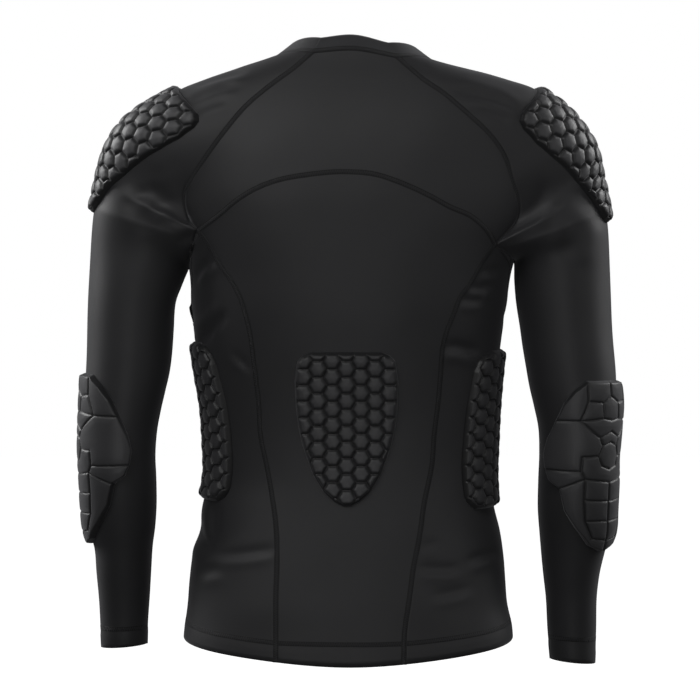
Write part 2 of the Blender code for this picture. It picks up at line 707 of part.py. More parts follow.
def pad_solid(cells, place, seat):
    """Foam pad: flat underside on the cloth, grooves between raised cells, and a low edge."""
    flat = np.concatenate(cells)
    _, first, index = np.unique(np.round(flat, 2), axis=0, return_index=True, return_inverse=True)
    flat = flat[first]
    index = index.reshape(-1)
    ends = np.cumsum([len(cell) for cell in cells])
    runs = [run for run in np.split(index, ends[:-1])]
    runs = [[a for a, b in zip(run, np.roll(run, 1)) if a != b] for run in runs]
    runs = [run for run in runs if len(run) > 2]
    count = len(flat)
    seats, normals = place(flat[:, 1], flat[:, 0])
    points = [seats + seat * normals, seats + PAD_GROOVE * normals]
    faces = [tuple(run[::-1]) for run in runs]
    total = 2 * count
    for run in runs:
        cell = flat[run]
        low = [count + corner for corner in run]
        size = inner_radius(cell)
        if size < LEAST_CELL:
            faces.append(tuple(low))
            continue
        middle = cell.mean(axis=0)
        raised = middle + (cell - middle) * (1 - CELL_BEVEL / size)
        seats, normals = place(raised[:, 1], raised[:, 0])
        points.append(seats + PAD_TOP * normals)
        high = list(range(total, total + len(run)))
        total += len(run)
        faces.append(tuple(high))
        for i, _ in enumerate(run):
            j = (i + 1) % len(run)
            faces.append((low[i], low[j], high[j], high[i]))
    sides = {(a, b) for run in runs for a, b in zip(run, run[1:] + run[:1])}
    for a, b in sides:
        if (b, a) not in sides:
            faces.append((a, b, count + b, count + a))
    points = np.vstack(points)
    if signed_volume(points, faces) < 0:
        faces = [face[::-1] for face in faces]
    return points, faces


def moulded_pad_solid(cells, place, seat):
    """Foam pad of large unlike cells, with points inside its faces so that it bends with the arm."""
    cells = [stepped(cell) for cell in cells]
    flat = np.concatenate(cells)
    _, first, index = np.unique(np.round(flat, 2), axis=0, return_index=True, return_inverse=True)
    flat = flat[first]
    index = index.reshape(-1)
    loops = np.split(index, np.cumsum([len(cell) for cell in cells])[:-1])
    raised = [inset(cell, ELBOW_BEVEL) for cell in cells]
    above = np.vstack([flat] + raised + [inside_points(rim, ELBOW_TOP_STEP) for rim in raised])
    ends = len(flat) + np.cumsum([len(rim) for rim in raised])
    rims = [np.arange(end - len(rim), end) for rim, end in zip(raised, ends)]
    top = triangles(above, loops + rims)

    sides = {(int(a), int(b)) for loop in loops for a, b in zip(loop, np.roll(loop, -1))}
    after = {a: b for a, b in sides if (b, a) not in sides}
    outline = [min(after)]
    while after[outline[-1]] != outline[0]:
        outline.append(after[outline[-1]])
    below = np.vstack([flat[outline], inside_points(flat[outline], ELBOW_UNDER_STEP)])
    bottom = triangles(below, [np.arange(len(outline))])

    seats, normals = place(below[:, 1], below[:, 0])
    points = [seats + seat * normals]
    seats, normals = place(above[:, 1], above[:, 0])
    lift = np.where(np.arange(len(above)) < len(flat), PAD_GROOVE, PAD_TOP)
    points.append(seats + lift[:, None] * normals)
    count = len(below)
    faces = [face[::-1] for face in bottom]
    faces += [tuple(count + corner for corner in face) for face in top]
    for a, corner in enumerate(outline):
        b = (a + 1) % len(outline)
        faces.append((a, b, count + outline[b], count + corner))
    points = np.vstack(points)
    if signed_volume(points, faces) < 0:
        faces = [face[::-1] for face in faces]
    return points, faces


def material(name, colour, roughness):
    made = bpy.data.materials.new(name)
    made.use_nodes = True
    shader = made.node_tree.nodes["Principled BSDF"]
    shader.inputs["Base Color"].default_value = (*colour, 1)
    shader.inputs["Roughness"].default_value = roughness
    shader.inputs["Metallic"].default_value = 0
    return made


def add_piece(collection, name, solid, finish):
    points, faces = solid
    mesh = bpy.data.meshes.new(name)
    mesh.from_pydata((points * MM).tolist(), [], faces)
    mesh.shade_smooth()
    mesh.set_sharp_from_angle(angle=np.radians(40))
    mesh.materials.append(finish)
    piece = bpy.data.objects.new(name, mesh)
    collection.objects.link(piece)


def cloth_pieces():
    """Every cloth piece as (points, faces), all cut from one set of seam points."""
    grids = {}
    normals = {}
    flat_grids = {
        "upper_back": upper_back(),
        "centre_back": centre_back(),
        "side_panel_left": side_panel("left"),
        "side_panel_right": side_panel("right"),
        "front_panel": front_panel(),
    }
    for name, flat in flat_grids.items():
        grids[name] = trunk(flat[..., 0], flat[..., 1])
        normals[name] = trunk_normal(flat[..., 0], flat[..., 1])
    for side in ("left", "right"):
        sleeve = Sleeve(side)
        name = "sleeve_" + side
        grids[name] = sleeve.grid()
        normals[name] = grid_normals(grids[name], sleeve.frame(sleeve.grid_rows)[0])
    columns = slice(2 * len(SCOOP_SHARES) + RAGLAN_STEPS - 1, None)
    front_neck = grids["front_panel"][0][columns][:FRONT_NECK_STEPS + 1]
    rings = [grids["upper_back"][0], grids["sleeve_right"][0], front_neck[::-1],
             grids["sleeve_left"][0][::-1]]
    grids["collar"] = collar_grid(rings)
    middle = grids["collar"][-1].mean(axis=0)
    insides = np.repeat(middle[None], COLLAR_STEPS + 1, axis=0)
    normals["collar"] = grid_normals(grids["collar"], insides)

    names = list(grids)
    normals = shared_normals([grids[name] for name in names], [normals[name] for name in names])
    pieces = {}
    for name, normal in zip(names, normals):
        outer = drawn_in(folded(grids[name], normal), normal)
        hemmed = name not in ("collar", "upper_back")
        pieces[name] = cloth_solid(outer, normal, hem_wall(outer.shape[:2], hemmed))
    return pieces


def pad_pieces():
    """Every pad as (points, faces)."""
    pieces = {}
    x, top = TAIL_PAD_TOP
    angle = trunk_angle([(x, top + 80)], 1)[0, 0]
    place = trunk_pad_place(angle, top)
    pieces["tail_pad"] = pad_solid(hexagon_cells(TAIL_PAD), place, TRUNK_PAD_SEAT)
    for side in ("left", "right"):
        degrees, top = RIB_PAD_TOP[side]
        angle = np.radians(degrees if side == "left" else 180 - degrees)
        place = trunk_pad_place(angle, top)
        pieces["rib_pad_" + side] = pad_solid(hexagon_cells(RIB_PAD), place, TRUNK_PAD_SEAT)
        sleeve = Sleeve(side)
        place = sleeve.pad_place(SHOULDER_PAD_START[side], np.pi / 2, SHOULDER_PAD_BACK[side],
                                 SHOULDER_PAD_TILT[side])
        cells = hexagon_cells(SHOULDER_PAD)
        pieces["shoulder_pad_" + side] = pad_solid(cells, place, SLEEVE_PAD_SEAT)
        start = np.interp(ELBOW_PAD_TOP[side], -sleeve.outer[:, 2], sleeve.along)
        place = sleeve.pad_place(start, np.radians(ELBOW_PAD_TURN[side]))
        pieces["elbow_pad_" + side] = moulded_pad_solid(elbow_cells(), place, SLEEVE_PAD_SEAT)
    return pieces


def main():
    for old in list(bpy.data.objects):
        bpy.data.objects.remove(old)
    collection = bpy.data.collections.new("padded_compression_shirt")
    bpy.context.scene.collection.children.link(collection)
    knit = material("polyester elastane knit", (0.026, 0.026, 0.028), 0.55)
    collar_knit = material("ribbed collar knit", (0.036, 0.036, 0.038), 0.6)
    foam = material("cloth-faced EVA foam", (0.032, 0.032, 0.034), 0.5)
    for name, solid in cloth_pieces().items():
        add_piece(collection, name, solid, collar_knit if name == "collar" else knit)
    for name, solid in pad_pieces().items():
        add_piece(collection, name, solid, foam)


main()
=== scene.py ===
# %% [markdown]
# # Padded compression shirt, seen from behind
#
# A compression shirt is cut from a few panels of thin stretchy knit and carries foam pads.
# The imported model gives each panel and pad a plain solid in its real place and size.
# This script stands a finely shaped piece in for each of those solids, gives it creases,
# stitching and a knit surface, and lights it as a studio would.
# All tables are in millimetres. The back faces +Y, the wearer's left is +X, and the neck is
# at the origin. "below" is a depth under the neck. Angles run from the wearer's left flank
# towards the back.

import bpy
import numpy as np
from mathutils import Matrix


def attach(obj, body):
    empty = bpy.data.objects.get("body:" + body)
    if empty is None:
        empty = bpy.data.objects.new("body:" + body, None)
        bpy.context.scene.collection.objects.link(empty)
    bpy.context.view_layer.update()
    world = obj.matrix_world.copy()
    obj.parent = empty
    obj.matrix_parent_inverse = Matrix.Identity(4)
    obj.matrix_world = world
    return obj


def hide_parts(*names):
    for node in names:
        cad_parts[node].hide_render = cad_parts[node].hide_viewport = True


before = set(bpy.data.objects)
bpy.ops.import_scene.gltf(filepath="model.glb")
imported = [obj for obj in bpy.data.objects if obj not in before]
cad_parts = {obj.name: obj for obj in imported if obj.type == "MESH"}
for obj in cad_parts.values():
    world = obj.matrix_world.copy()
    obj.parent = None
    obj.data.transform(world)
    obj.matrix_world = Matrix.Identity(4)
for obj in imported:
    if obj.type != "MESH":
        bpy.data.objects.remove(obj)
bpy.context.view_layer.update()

MM = 0.001

# %% [markdown]
# ## The body of the shirt
#
# When it is worn, the trunk of the shirt is one smooth tube. Every panel is a part of it, so
# the tube comes first and the seams are drawn on it afterwards, as a pattern cutter does.
# Each level of the tube is a squared ellipse with its own four half sizes, and a smooth cubic
# runs through the levels. A formula is better than a sculpted mesh here, because two panels
# that share a seam then share its points exactly.

# %% Sizes of the trunk: below, half width left and right, depth to the back and to the front
TRUNK = np.array([
    (-20, 130, 130, 54, 34),
    (0, 160, 160, 62, 50),
    (25, 195, 198, 74, 64),
    (55, 214, 218, 87, 80),
    (90, 219, 225, 98, 96),
    (125, 212, 222, 105, 108),
    (155, 203, 213, 109, 114),
    (180, 193, 202, 110, 118),
    (205, 184, 187, 110, 119),
    (232, 177, 178, 109, 119),
    (270, 174, 172, 106, 117),
    (310, 170, 166, 100, 113),
    (345, 165, 162, 94, 109),
    (380, 159, 159, 89, 106),
    (420, 156, 157, 85, 104),
    (465, 156, 156, 85, 104),
    (490, 162, 158, 88, 105),
    (520, 167, 165, 93, 107),
    (550, 174, 169, 98, 109),
    (575, 177, 171, 102, 110),
    (600, 179, 173, 106, 111),
    (625, 182, 178, 108, 112),
    (650, 184, 180, 110, 113),
    (690, 185, 181, 112, 114),
], float)
TRUNK_ROUNDNESS = 2.4
# Slopes round a tube are read over this small turn, in radians, to both sides. A distance
# across a pad is walked round the cloth in WALK_STEPS steps.
NUDGE = 0.01
WALK_STEPS = 16
print("trunk levels:", len(TRUNK), "down to", TRUNK[-1, 0], "mm")


# %% Curves and the trunk's surface
def unit(vectors):
    """Vectors divided by their own length."""
    return vectors / np.linalg.norm(vectors, axis=-1, keepdims=True)


def cubic(places, values, at):
    """Hermite cubic through the values: slopes are the mean rise from one place to the next."""
    slopes = np.gradient(values, places, axis=0)
    low = np.clip(np.searchsorted(places, at, side="right") - 1, 0, len(places) - 2)
    span = (places[low + 1] - places[low])[..., None]
    t = (at - places[low])[..., None] / span
    start = (1 + 2 * t) * (1 - t) ** 2 * values[low] + t * (1 - t) ** 2 * span * slopes[low]
    end = t * t * (3 - 2 * t) * values[low + 1] - t * t * (1 - t) * span * slopes[low + 1]
    return start + end


def even_points(points, steps):
    """Points at equal distances along the cubic through the given points."""
    points = np.array(points, float)
    along = np.concatenate([[0], np.cumsum(np.linalg.norm(np.diff(points, axis=0), axis=1))])
    return cubic(along, points, np.linspace(0, along[-1], steps + 1))


def trunk_sizes(below):
    """The four half sizes of the trunk at any depth."""
    return np.moveaxis(cubic(TRUNK[:, 0], TRUNK[:, 1:], np.asarray(below, float)), -1, 0)


def trunk(angle, below):
    """Superellipse: the point at an angle where |x/width|^2.4 + |y/depth|^2.4 = 1."""
    left, right, back, front = trunk_sizes(below)
    across = np.where(np.cos(angle) > 0, left, right)
    deep = np.where(np.sin(angle) > 0, back, front)
    power = TRUNK_ROUNDNESS
    reach = np.abs(np.cos(angle) / across) ** power + np.abs(np.sin(angle) / deep) ** power
    reach = reach ** (-1 / power)
    height = -np.asarray(below, float) + 0 * reach
    return np.stack([reach * np.cos(angle), reach * np.sin(angle), height], axis=-1)


def trunk_normal(angle, below):
    """Cross product of a small step down the trunk and a small step round it."""
    round_step = trunk(angle + NUDGE, below) - trunk(angle - NUDGE, below)
    down_step = trunk(angle, below + 1) - trunk(angle, below - 1)
    return unit(np.cross(down_step, round_step))


def walked(tube, turn, across):
    """The turn after a walk round a tube: each step adds its length over the mm per radian."""
    for _ in range(WALK_STEPS):
        step = tube(turn + NUDGE) - tube(turn - NUDGE)
        turn = turn + across / WALK_STEPS / (np.linalg.norm(step, axis=-1) / (2 * NUDGE))
    return turn


def trunk_angle(points, face):
    """The angle of the trunk's point at each x and below, on the back (1) or the front (-1)."""
    x, below = np.array(points, float).T
    left, right, back, front = trunk_sizes(below)
    share = np.clip(np.abs(x) / np.where(x > 0, left, right), 0, 1)
    deep = back if face > 0 else front
    y = face * deep * (1 - share ** TRUNK_ROUNDNESS) ** (1 / TRUNK_ROUNDNESS)
    return np.stack([np.arctan2(y, x), below], axis=-1)


waist = trunk(np.linspace(0, 2 * np.pi, 181), np.full(181, 450.0))
print("waist:", round(np.linalg.norm(np.diff(waist, axis=0), axis=1).sum()), "mm round")

# %% [markdown]
# ## The seams
#
# The back has raglan seams from the neck to the armpits, an arched yoke seam between them,
# and two long seams that part the centre back from the side panels. A seam is a short list
# of points as x and below, read where it shows, and a smooth curve runs through them.
# The front doesn't show, so it gets the plain raglan cut that such a shirt has.

# %% Seam tables, each point as x and below
RAGLAN_BACK = {
    "left": [(40, -5), (59, 12), (86, 32), (114, 56), (134, 80), (154, 107), (171, 133),
             (179, 148), (179, 164), (174, 178), (165, 189)],
    "right": [(50, 0), (61, 10), (81, 27), (99, 39), (117, 54), (132, 67), (154, 89),
              (169, 113), (175, 135), (182, 157), (182, 175), (170, 192), (157, 204)],
}
YOKE = [(165, 189), (143, 173), (121, 155), (99, 142), (77, 134), (44, 128), (5, 125), (-28, 128),
        (-55, 137), (-86, 151), (-106, 162), (-132, 174), (-149, 190), (-157, 204)]
SIDE_BACK = {
    "left": [(165, 189), (151, 209), (141, 225), (127, 245), (119, 260), (113, 278), (108, 300),
             (104, 331), (99, 374), (97, 410), (90, 445), (85, 473), (80, 509), (79, 540),
             (80, 583), (80, 652)],
    "right": [(157, 204), (143, 223), (129, 247), (118, 262), (112, 278), (105, 295), (100, 314),
              (98, 341), (96, 368), (91, 410), (89, 440), (80, 485), (75, 520), (69, 550),
              (64, 586), (59, 620), (58, 652)],
}
RAGLAN_FRONT = [(66, 47), (76, 72), (90, 100), (107, 130), (125, 162), (141, 192)]
NECK_FRONT = [(66, 47), (50, 63), (27, 75), (0, 79)]
NECK_BACK_MIDDLE = (-4, -8)

# The side panel's front seam, as degrees forward of the flank and below
SIDE_FRONT = [(-10, 232), (-8, 252), (-4, 270), (6, 294), (17, 315), (25, 345), (31, 390),
              (36, 460), (39, 540), (40, 640)]

# The armhole's lowest point, and the hem's depth at the flank and at the middle
ARMPIT = {"left": 232, "right": 224}
HEM_FLANK = 636
HEM_MIDDLE = 659
print("seams on the back:", len(RAGLAN_BACK) + len(SIDE_BACK) + 1)

# %% How finely the cloth is divided: every coarse step of the solids becomes FINE steps
FINE = 8
NECK_STEPS = 12 * FINE
FRONT_NECK_STEPS = 4 * FINE
RAGLAN_STEPS = 8 * FINE
SCOOP_STEPS = 3 * FINE
ARMHOLE_STEPS = RAGLAN_STEPS + SCOOP_STEPS
SCOOP_NODES = [0, 0.14, 0.5, 1]
SCOOP_SHARES = np.interp(np.arange(1, SCOOP_STEPS + 1) / FINE, range(4), SCOOP_NODES)
LENGTH_STEPS = 16 * FINE
SIDE_STEPS = 6 * FINE
ROUND_STEPS = 12 * FINE
ARM_STEPS = 15 * FINE
COLLAR_STEPS = 10
print("a grid step on the back is about", round(530 / LENGTH_STEPS, 1), "mm")

# %% Seams drawn on the trunk, as angles and depths
def mirrored(points, side):
    """The points for the left side as they are, or with x turned over for the right side."""
    return [(x if side == "left" else -x, below) for x, below in points]


def own_angle(seam, side):
    """Angles counted from the side's own flank, back positive, so that both sides match."""
    if side == "right":
        seam = np.stack([np.pi - seam[:, 0], seam[:, 1]], axis=-1)
    turn = (seam[:, 0] + np.pi) % (2 * np.pi) - np.pi
    return np.stack([turn, seam[:, 1]], axis=-1)


def whole_angle(seam, side, front=False):
    """Angles from a flank turned back into whole angles, run on round the front if asked."""
    if side == "left":
        return seam
    half_turn = -np.pi if front else np.pi
    return np.stack([half_turn - seam[..., 0], seam[..., 1]], axis=-1)


def scoop(meeting, low):
    """The armhole's round bottom: a parabola from a seam's end down to the flank."""
    t = SCOOP_SHARES[:, None]
    return np.hstack([meeting[0] * (1 - t), low + (meeting[1] - low) * (1 - t) ** 2])


def armhole(side, face):
    """One face of an armhole, from the neck to its lowest point, as own angles and below."""
    table = RAGLAN_BACK[side] if face > 0 else RAGLAN_FRONT
    seam = trunk_angle(even_points(mirrored(table, side), RAGLAN_STEPS), face)
    seam = own_angle(seam, side)
    return np.vstack([seam, scoop(seam[-1], ARMPIT[side])])


def hem(own):
    """Hem depth: it falls from the flank to the middle as the sine of the angle."""
    return HEM_FLANK + (HEM_MIDDLE - HEM_FLANK) * np.abs(np.sin(own))


def side_seam_front(side):
    """The side panel's front seam, from the armhole's first scoop point down to the hem."""
    first = armhole(side, 1)[RAGLAN_STEPS + FINE]
    rest = [(-np.radians(degrees), below) for degrees, below in SIDE_FRONT]
    points = np.array([tuple(first)] + rest)
    points[-1, 1] = hem(points[-1, 0])
    mm_per_radian = (150, 1)
    return even_points(points * mm_per_radian, LENGTH_STEPS) / mm_per_radian


def side_seam_back(side):
    """The seam between the centre back and a side panel."""
    points = mirrored(SIDE_BACK[side], side)
    seam = own_angle(trunk_angle(even_points(points, LENGTH_STEPS), 1), side)
    seam[-1, 1] = hem(seam[-1, 0])
    return seam


def hem_between(first, last, steps):
    """The hem's edge between two angles."""
    angle = np.linspace(first, last, steps + 1)
    return np.stack([angle, hem(angle)], axis=-1)


for side in ("left", "right"):
    print(side, "armhole points:", len(armhole(side, 1)), "side seam:", len(side_seam_back(side)))

# %% [markdown]
# ## Panels between the seams
#
# A panel of cloth fills the space between four seams. A Coons patch does that with one
# formula: it blends the two long edges and the two short edges, and takes away the corners
# that it counted twice. Filling by hand or with a grid-fill tool would give each panel its
# own edge points, and then the cloth would gape at the seams.


# %% Coons patches for the five panels of the trunk
def patch(top, bottom, start, end):
    """Coons patch: blend of start and end, plus blend of top and bottom, less the corners."""
    u = np.linspace(0, 1, len(top))[None, :, None]
    v = np.linspace(0, 1, len(start))[:, None, None]
    across = (1 - u) * start[:, None] + u * end[:, None]
    down = (1 - v) * top[None] + v * bottom[None]
    corners = (1 - v) * ((1 - u) * top[0] + u * top[-1])
    corners = corners + v * ((1 - u) * bottom[0] + u * bottom[-1])
    return across + down - corners


def yoke_seam():
    """The arched seam across the back."""
    return trunk_angle(even_points(YOKE, NECK_STEPS), 1)


def upper_back():
    """From the neck down to the yoke seam, between the raglan seams."""
    ends = [RAGLAN_BACK["left"][0], NECK_BACK_MIDDLE, mirrored(RAGLAN_BACK["right"], "right")[0]]
    neck = trunk_angle(even_points(ends, NECK_STEPS), 1)
    left = armhole("left", 1)[:RAGLAN_STEPS + 1]
    right = whole_angle(armhole("right", 1)[:RAGLAN_STEPS + 1], "right")
    return patch(neck, yoke_seam(), left, right)


def centre_back():
    """From the yoke seam down to the hem, between the side panels."""
    left = side_seam_back("left")
    right = whole_angle(side_seam_back("right"), "right")
    bottom = hem_between(left[-1, 0], right[-1, 0], NECK_STEPS)
    return patch(yoke_seam(), bottom, left, right)


def side_panel(side):
    """Under an arm, from the armhole down to the hem."""
    back = side_seam_back(side)
    front = side_seam_front(side)
    top = armhole(side, 1)[RAGLAN_STEPS:RAGLAN_STEPS + FINE + 1]
    share = np.linspace(0, FINE, SIDE_STEPS + 1)
    top = cubic(np.arange(len(top), dtype=float), top, share)
    bottom = hem_between(back[-1, 0], front[-1, 0], SIDE_STEPS)
    return whole_angle(patch(top, bottom, back, front), side)


def front_panel():
    """Its top edge runs under one arm, up a raglan seam, round the neck and down again."""
    tops = {}
    for side in ("left", "right"):
        under = armhole(side, 1)[RAGLAN_STEPS + FINE:]
        up = armhole(side, -1)[::-1]
        tops[side] = whole_angle(np.vstack([under, up[1:]]), side, front=True)
    neck = NECK_FRONT + [(-x, below) for x, below in NECK_FRONT[-2::-1]]
    neck = trunk_angle(even_points(neck, FRONT_NECK_STEPS), -1)
    top = np.vstack([tops["left"], neck[1:-1], tops["right"][::-1]])
    left = side_seam_front("left")
    right = whole_angle(side_seam_front("right"), "right", front=True)
    angle = np.linspace(left[-1, 0], right[-1, 0], len(top))
    return patch(top, np.stack([angle, hem(angle)], axis=-1), left, right)


flat_panels = {
    "upper_back": upper_back(),
    "centre_back": centre_back(),
    "side_panel_left": side_panel("left"),
    "side_panel_right": side_panel("right"),
    "front_panel": front_panel(),
}
grids = {name: trunk(flat[..., 0], flat[..., 1]) for name, flat in flat_panels.items()}
normals = {name: trunk_normal(flat[..., 0], flat[..., 1]) for name, flat in flat_panels.items()}
for name, grid in grids.items():
    print(name, "grid", grid.shape[:2])

# %% [markdown]
# ## The sleeves
#
# A raglan sleeve runs from the neck to the wrist in one piece. Its top is cut by the back and
# front raglan seams, and below the armpit it is a closed tube. One tube of ellipses makes
# both: each row has a back seam point, a front seam point and an outermost point, and the
# ellipse through these three is found by its half sizes. Below the armpit the two seam points
# fall together, so the same formula closes the tube by itself. The two parts of the tube meet
# with a slight kink at the armpit, so a short stretch there is eased by averaging its rows.

# %% Sleeve tables
# Shoulder and arm outline where the cloth ends against the background, as x and below
SHOULDER = {
    "left": [(90, 9), (128, 19), (163, 30), (184, 39), (204, 49), (227, 62), (245, 77),
             (261, 102), (270, 126), (277, 154), (281, 172), (284, 192), (286, 223)],
    "right": [(98, 13), (132, 19), (174, 29), (198, 37), (215, 48), (229, 58), (246, 75),
              (260, 95), (272, 132), (279, 162), (284, 190), (285, 207), (286, 222)],
}
# How far each raglan row's widest depth lies past its seams, from the neck to under the arm
RAGLAN_PAST = [-28, -32, -36, -40, -40, -38, -30, -14, 6, 24, 46, 57]

# Below the armpit: outer x and below, inner x and below, half depth, y of the middle
ARM = {
    "left": [(286, 223, 177, 232, 55, -4), (287, 245, 185, 251, 57, -4),
             (288, 268, 192, 271, 56, -3), (289, 297, 194, 299, 54, -2),
             (289, 322, 196, 324, 52, 0), (290, 344, 199, 346, 50, 1),
             (291, 366, 204, 368, 48, 2), (292, 388, 209, 390, 46, 2),
             (293, 411, 213, 412, 45, 1), (293, 438, 215, 438, 45, -1),
             (292, 465, 214, 465, 44, -5), (291, 493, 214, 492, 42, -10),
             (289, 520, 216, 518, 39, -15), (283, 543, 219, 540, 36, -20),
             (281, 570, 221, 568, 33, -26), (279, 597, 223, 595, 30, -32),
             (278, 624, 225, 623, 28, -38), (277, 655, 226, 651, 27, -43)],
    "right": [(286, 222, 178, 224, 55, -4), (286, 246, 181, 246, 57, -4),
              (287, 271, 183, 269, 56, -3), (288, 297, 187, 295, 54, -2),
              (290, 320, 190, 318, 52, 0), (292, 344, 194, 341, 50, 1),
              (293, 366, 198, 363, 48, 2), (294, 388, 203, 385, 46, 2),
              (292, 411, 208, 409, 45, 1), (290, 438, 209, 436, 45, -1),
              (290, 466, 208, 465, 44, -5), (289, 497, 208, 496, 42, -10),
              (288, 523, 210, 523, 39, -15), (283, 545, 212, 545, 36, -20),
              (277, 572, 215, 572, 33, -26), (274, 600, 218, 599, 30, -32),
              (274, 634, 220, 632, 28, -38), (273, 673, 223, 668, 27, -44)],
}
print("arm rows:", len(ARM["left"]), "left and", len(ARM["right"]), "right")


# %% The sleeve's surface
class Sleeve:
    """Tube of ellipses: middle + outward * sin(turn) + backward * cos(turn), row by row."""

    def __init__(self, side):
        sign = 1 if side == "left" else -1
        back = armhole(side, 1)
        front = armhole(side, -1)
        back = trunk(whole_angle(back, side)[:, 0], back[:, 1])
        front = trunk(whole_angle(front, side)[:, 0], front[:, 1])
        raglan_rows = len(back)
        outline = even_points(SHOULDER[side], raglan_rows - 1)
        arm = np.array(ARM[side], float)
        level = np.linspace(0, 1, raglan_rows) ** 2 * arm[0, 5]
        outer = np.stack([sign * outline[:, 0], level, -outline[:, 1]], axis=-1)
        arm_outer = np.stack([sign * arm[:, 0], arm[:, 5], -arm[:, 1]], axis=-1)
        arm_inner = np.stack([sign * arm[:, 2], arm[:, 5], -arm[:, 3]], axis=-1)
        arm_inner[0] = back[-1]
        coarse = np.arange(len(RAGLAN_PAST), dtype=float)
        raglan = np.linspace(0, coarse[-1], raglan_rows)
        past = np.interp(raglan, coarse, RAGLAN_PAST)
        self.back = np.vstack([back, arm_inner[1:]])
        self.front = np.vstack([front, arm_inner[1:]])
        self.outer = np.vstack([outer, arm_outer[1:]])
        self.past = np.concatenate([past, arm[1:, 4]])[:, None]
        self.rows = np.concatenate([raglan, coarse[-1] + np.arange(1, len(arm))])
        # Below the armpit only the coarse rows steer the cubic, so that it runs on smoothly
        self.joint = coarse[-1]
        arm_nodes = np.arange(raglan_rows, len(self.rows))
        self.coarse = np.concatenate([np.arange(0, raglan_rows, FINE), arm_nodes])
        steps = np.linalg.norm(np.diff(self.outer, axis=0), axis=1)
        self.along = np.concatenate([[0], np.cumsum(steps)])
        arm_rows = np.linspace(raglan[-1], self.rows[-1], ARM_STEPS + 1)
        self.grid_rows = np.concatenate([raglan, arm_rows[1:]])

    def frame(self, row):
        """Middle, outward half axis, backward half axis and start angle of the rows' ellipses."""
        row = np.asarray(row, float)
        both = np.hstack([self.back, self.front, self.outer, self.past])
        fine = cubic(self.rows, both, row)
        coarse = cubic(self.rows[self.coarse], both[self.coarse], row)
        both = np.where((row > self.joint)[..., None], coarse, fine)
        back, front, outer, past = both[..., :3], both[..., 3:6], both[..., 6:9], both[..., 9:]
        middle = (back + front) / 2
        half = np.linalg.norm(back - front, axis=-1, keepdims=True) / 2
        half = np.where((row > self.joint)[..., None], 0, half)
        straight = np.array([0.0, 1.0, 0.0])
        backward = np.where(half > 1, (back - front) / (2 * np.maximum(half, 1)), straight)
        deep = np.sqrt(half ** 2 + past ** 2)
        sine = past / deep
        reach = np.linalg.norm(outer - middle, axis=-1, keepdims=True)
        outward = (outer - middle) / reach
        wide = reach / (1 + sine)
        return outer - wide * outward, wide * outward, deep * backward, np.arcsin(sine)[..., 0]

    def turned(self, row, turn):
        """Points at a turn round the rows: 0 is straight back, a quarter turn is outermost."""
        centre, outward, backward, _ = self.frame(row)
        turn = np.asarray(turn)[..., None]
        return centre + outward * np.sin(turn) + backward * np.cos(turn)

    def grid(self):
        """The whole sleeve, from its back seam round the outside to its front seam."""
        row = self.grid_rows[:, None] + np.zeros(ROUND_STEPS + 1)
        start = self.frame(self.grid_rows)[3][:, None]
        share = np.linspace(0, 1, ROUND_STEPS + 1)
        points = self.turned(row, -start + share * (np.pi + 2 * start))
        points[:ARMHOLE_STEPS + 1, 0] = self.back[:ARMHOLE_STEPS + 1]
        points[:ARMHOLE_STEPS + 1, -1] = self.front[:ARMHOLE_STEPS + 1]
        return points

    def place(self, start, turn, back=0, tilt=0):
        """Maps distances down and across a pad, tilted, to points and normals on the tube."""
        sine, cosine = np.sin(np.radians(tilt)), np.cos(np.radians(tilt))

        def placed(down, across):
            down, across = down * cosine + across * sine, back + across * cosine - down * sine
            row = np.interp(start + down, self.along, self.rows)
            start_turn = np.full(np.shape(down), turn, float)
            angle = walked(lambda at: self.turned(row, at), start_turn, -across)
            round_step = self.turned(row, angle + NUDGE) - self.turned(row, angle - NUDGE)
            down_step = self.turned(row + 0.05, angle) - self.turned(row - 0.05, angle)
            points = self.turned(row, angle)
            normal = unit(np.cross(round_step, down_step))
            outward = points - self.frame(row)[0]
            return points, normal * np.sign(np.sum(normal * outward, axis=-1, keepdims=True))
        return placed


def grid_normals(grid, inside):
    """Cross product of the grid's two directions, turned away from a point inside each row."""
    normal = unit(np.cross(np.gradient(grid, axis=1), np.gradient(grid, axis=0)))
    outward = np.sum(normal * (grid - inside[:, None]), axis=-1)
    return normal if outward.mean() > 0 else -normal


def smooth(share):
    """Smooth step: 3t^2 - 2t^3, with t held between 0 and 1."""
    t = np.clip(share, 0, 1)
    return t * t * (3 - 2 * t)


# Rows above and below the armpit that are eased, how many times, and the share of a row's
# length beside the underarm seam where the easing fades out
EASE_ABOVE = 16
EASE_BELOW = 40
EASE_TURNS = 150
EASE_EDGE = 0.12


def eased(grid):
    """Moves each point half way to the mean of the rows beside it, many times, at the armpit."""
    rows, columns = grid.shape[:2]
    from_joint = np.arange(rows) - ARMHOLE_STEPS
    share = np.where(from_joint < 0, -from_joint / EASE_ABOVE, from_joint / EASE_BELOW)
    edge = np.minimum(np.arange(columns), np.arange(columns)[::-1]) / columns
    weight = smooth(1 - share)[:, None] * smooth(edge / EASE_EDGE)
    for _ in range(EASE_TURNS):
        pull = (grid[2:] + grid[:-2]) / 2 - grid[1:-1]
        grid[1:-1] += 0.5 * weight[1:-1, :, None] * pull
    return grid


sleeves = {side: Sleeve(side) for side in ("left", "right")}
row_middles = {}
for side, sleeve in sleeves.items():
    name = "sleeve_" + side
    grids[name] = eased(sleeve.grid())
    row_middles[name] = sleeve.frame(sleeve.grid_rows)[0]
    normals[name] = grid_normals(grids[name], row_middles[name])
    cuff = np.linalg.norm(np.diff(grids[name][-1], axis=0), axis=1).sum()
    print(name, "grid", grids[name].shape[:2], "cuff", round(cuff), "mm round")

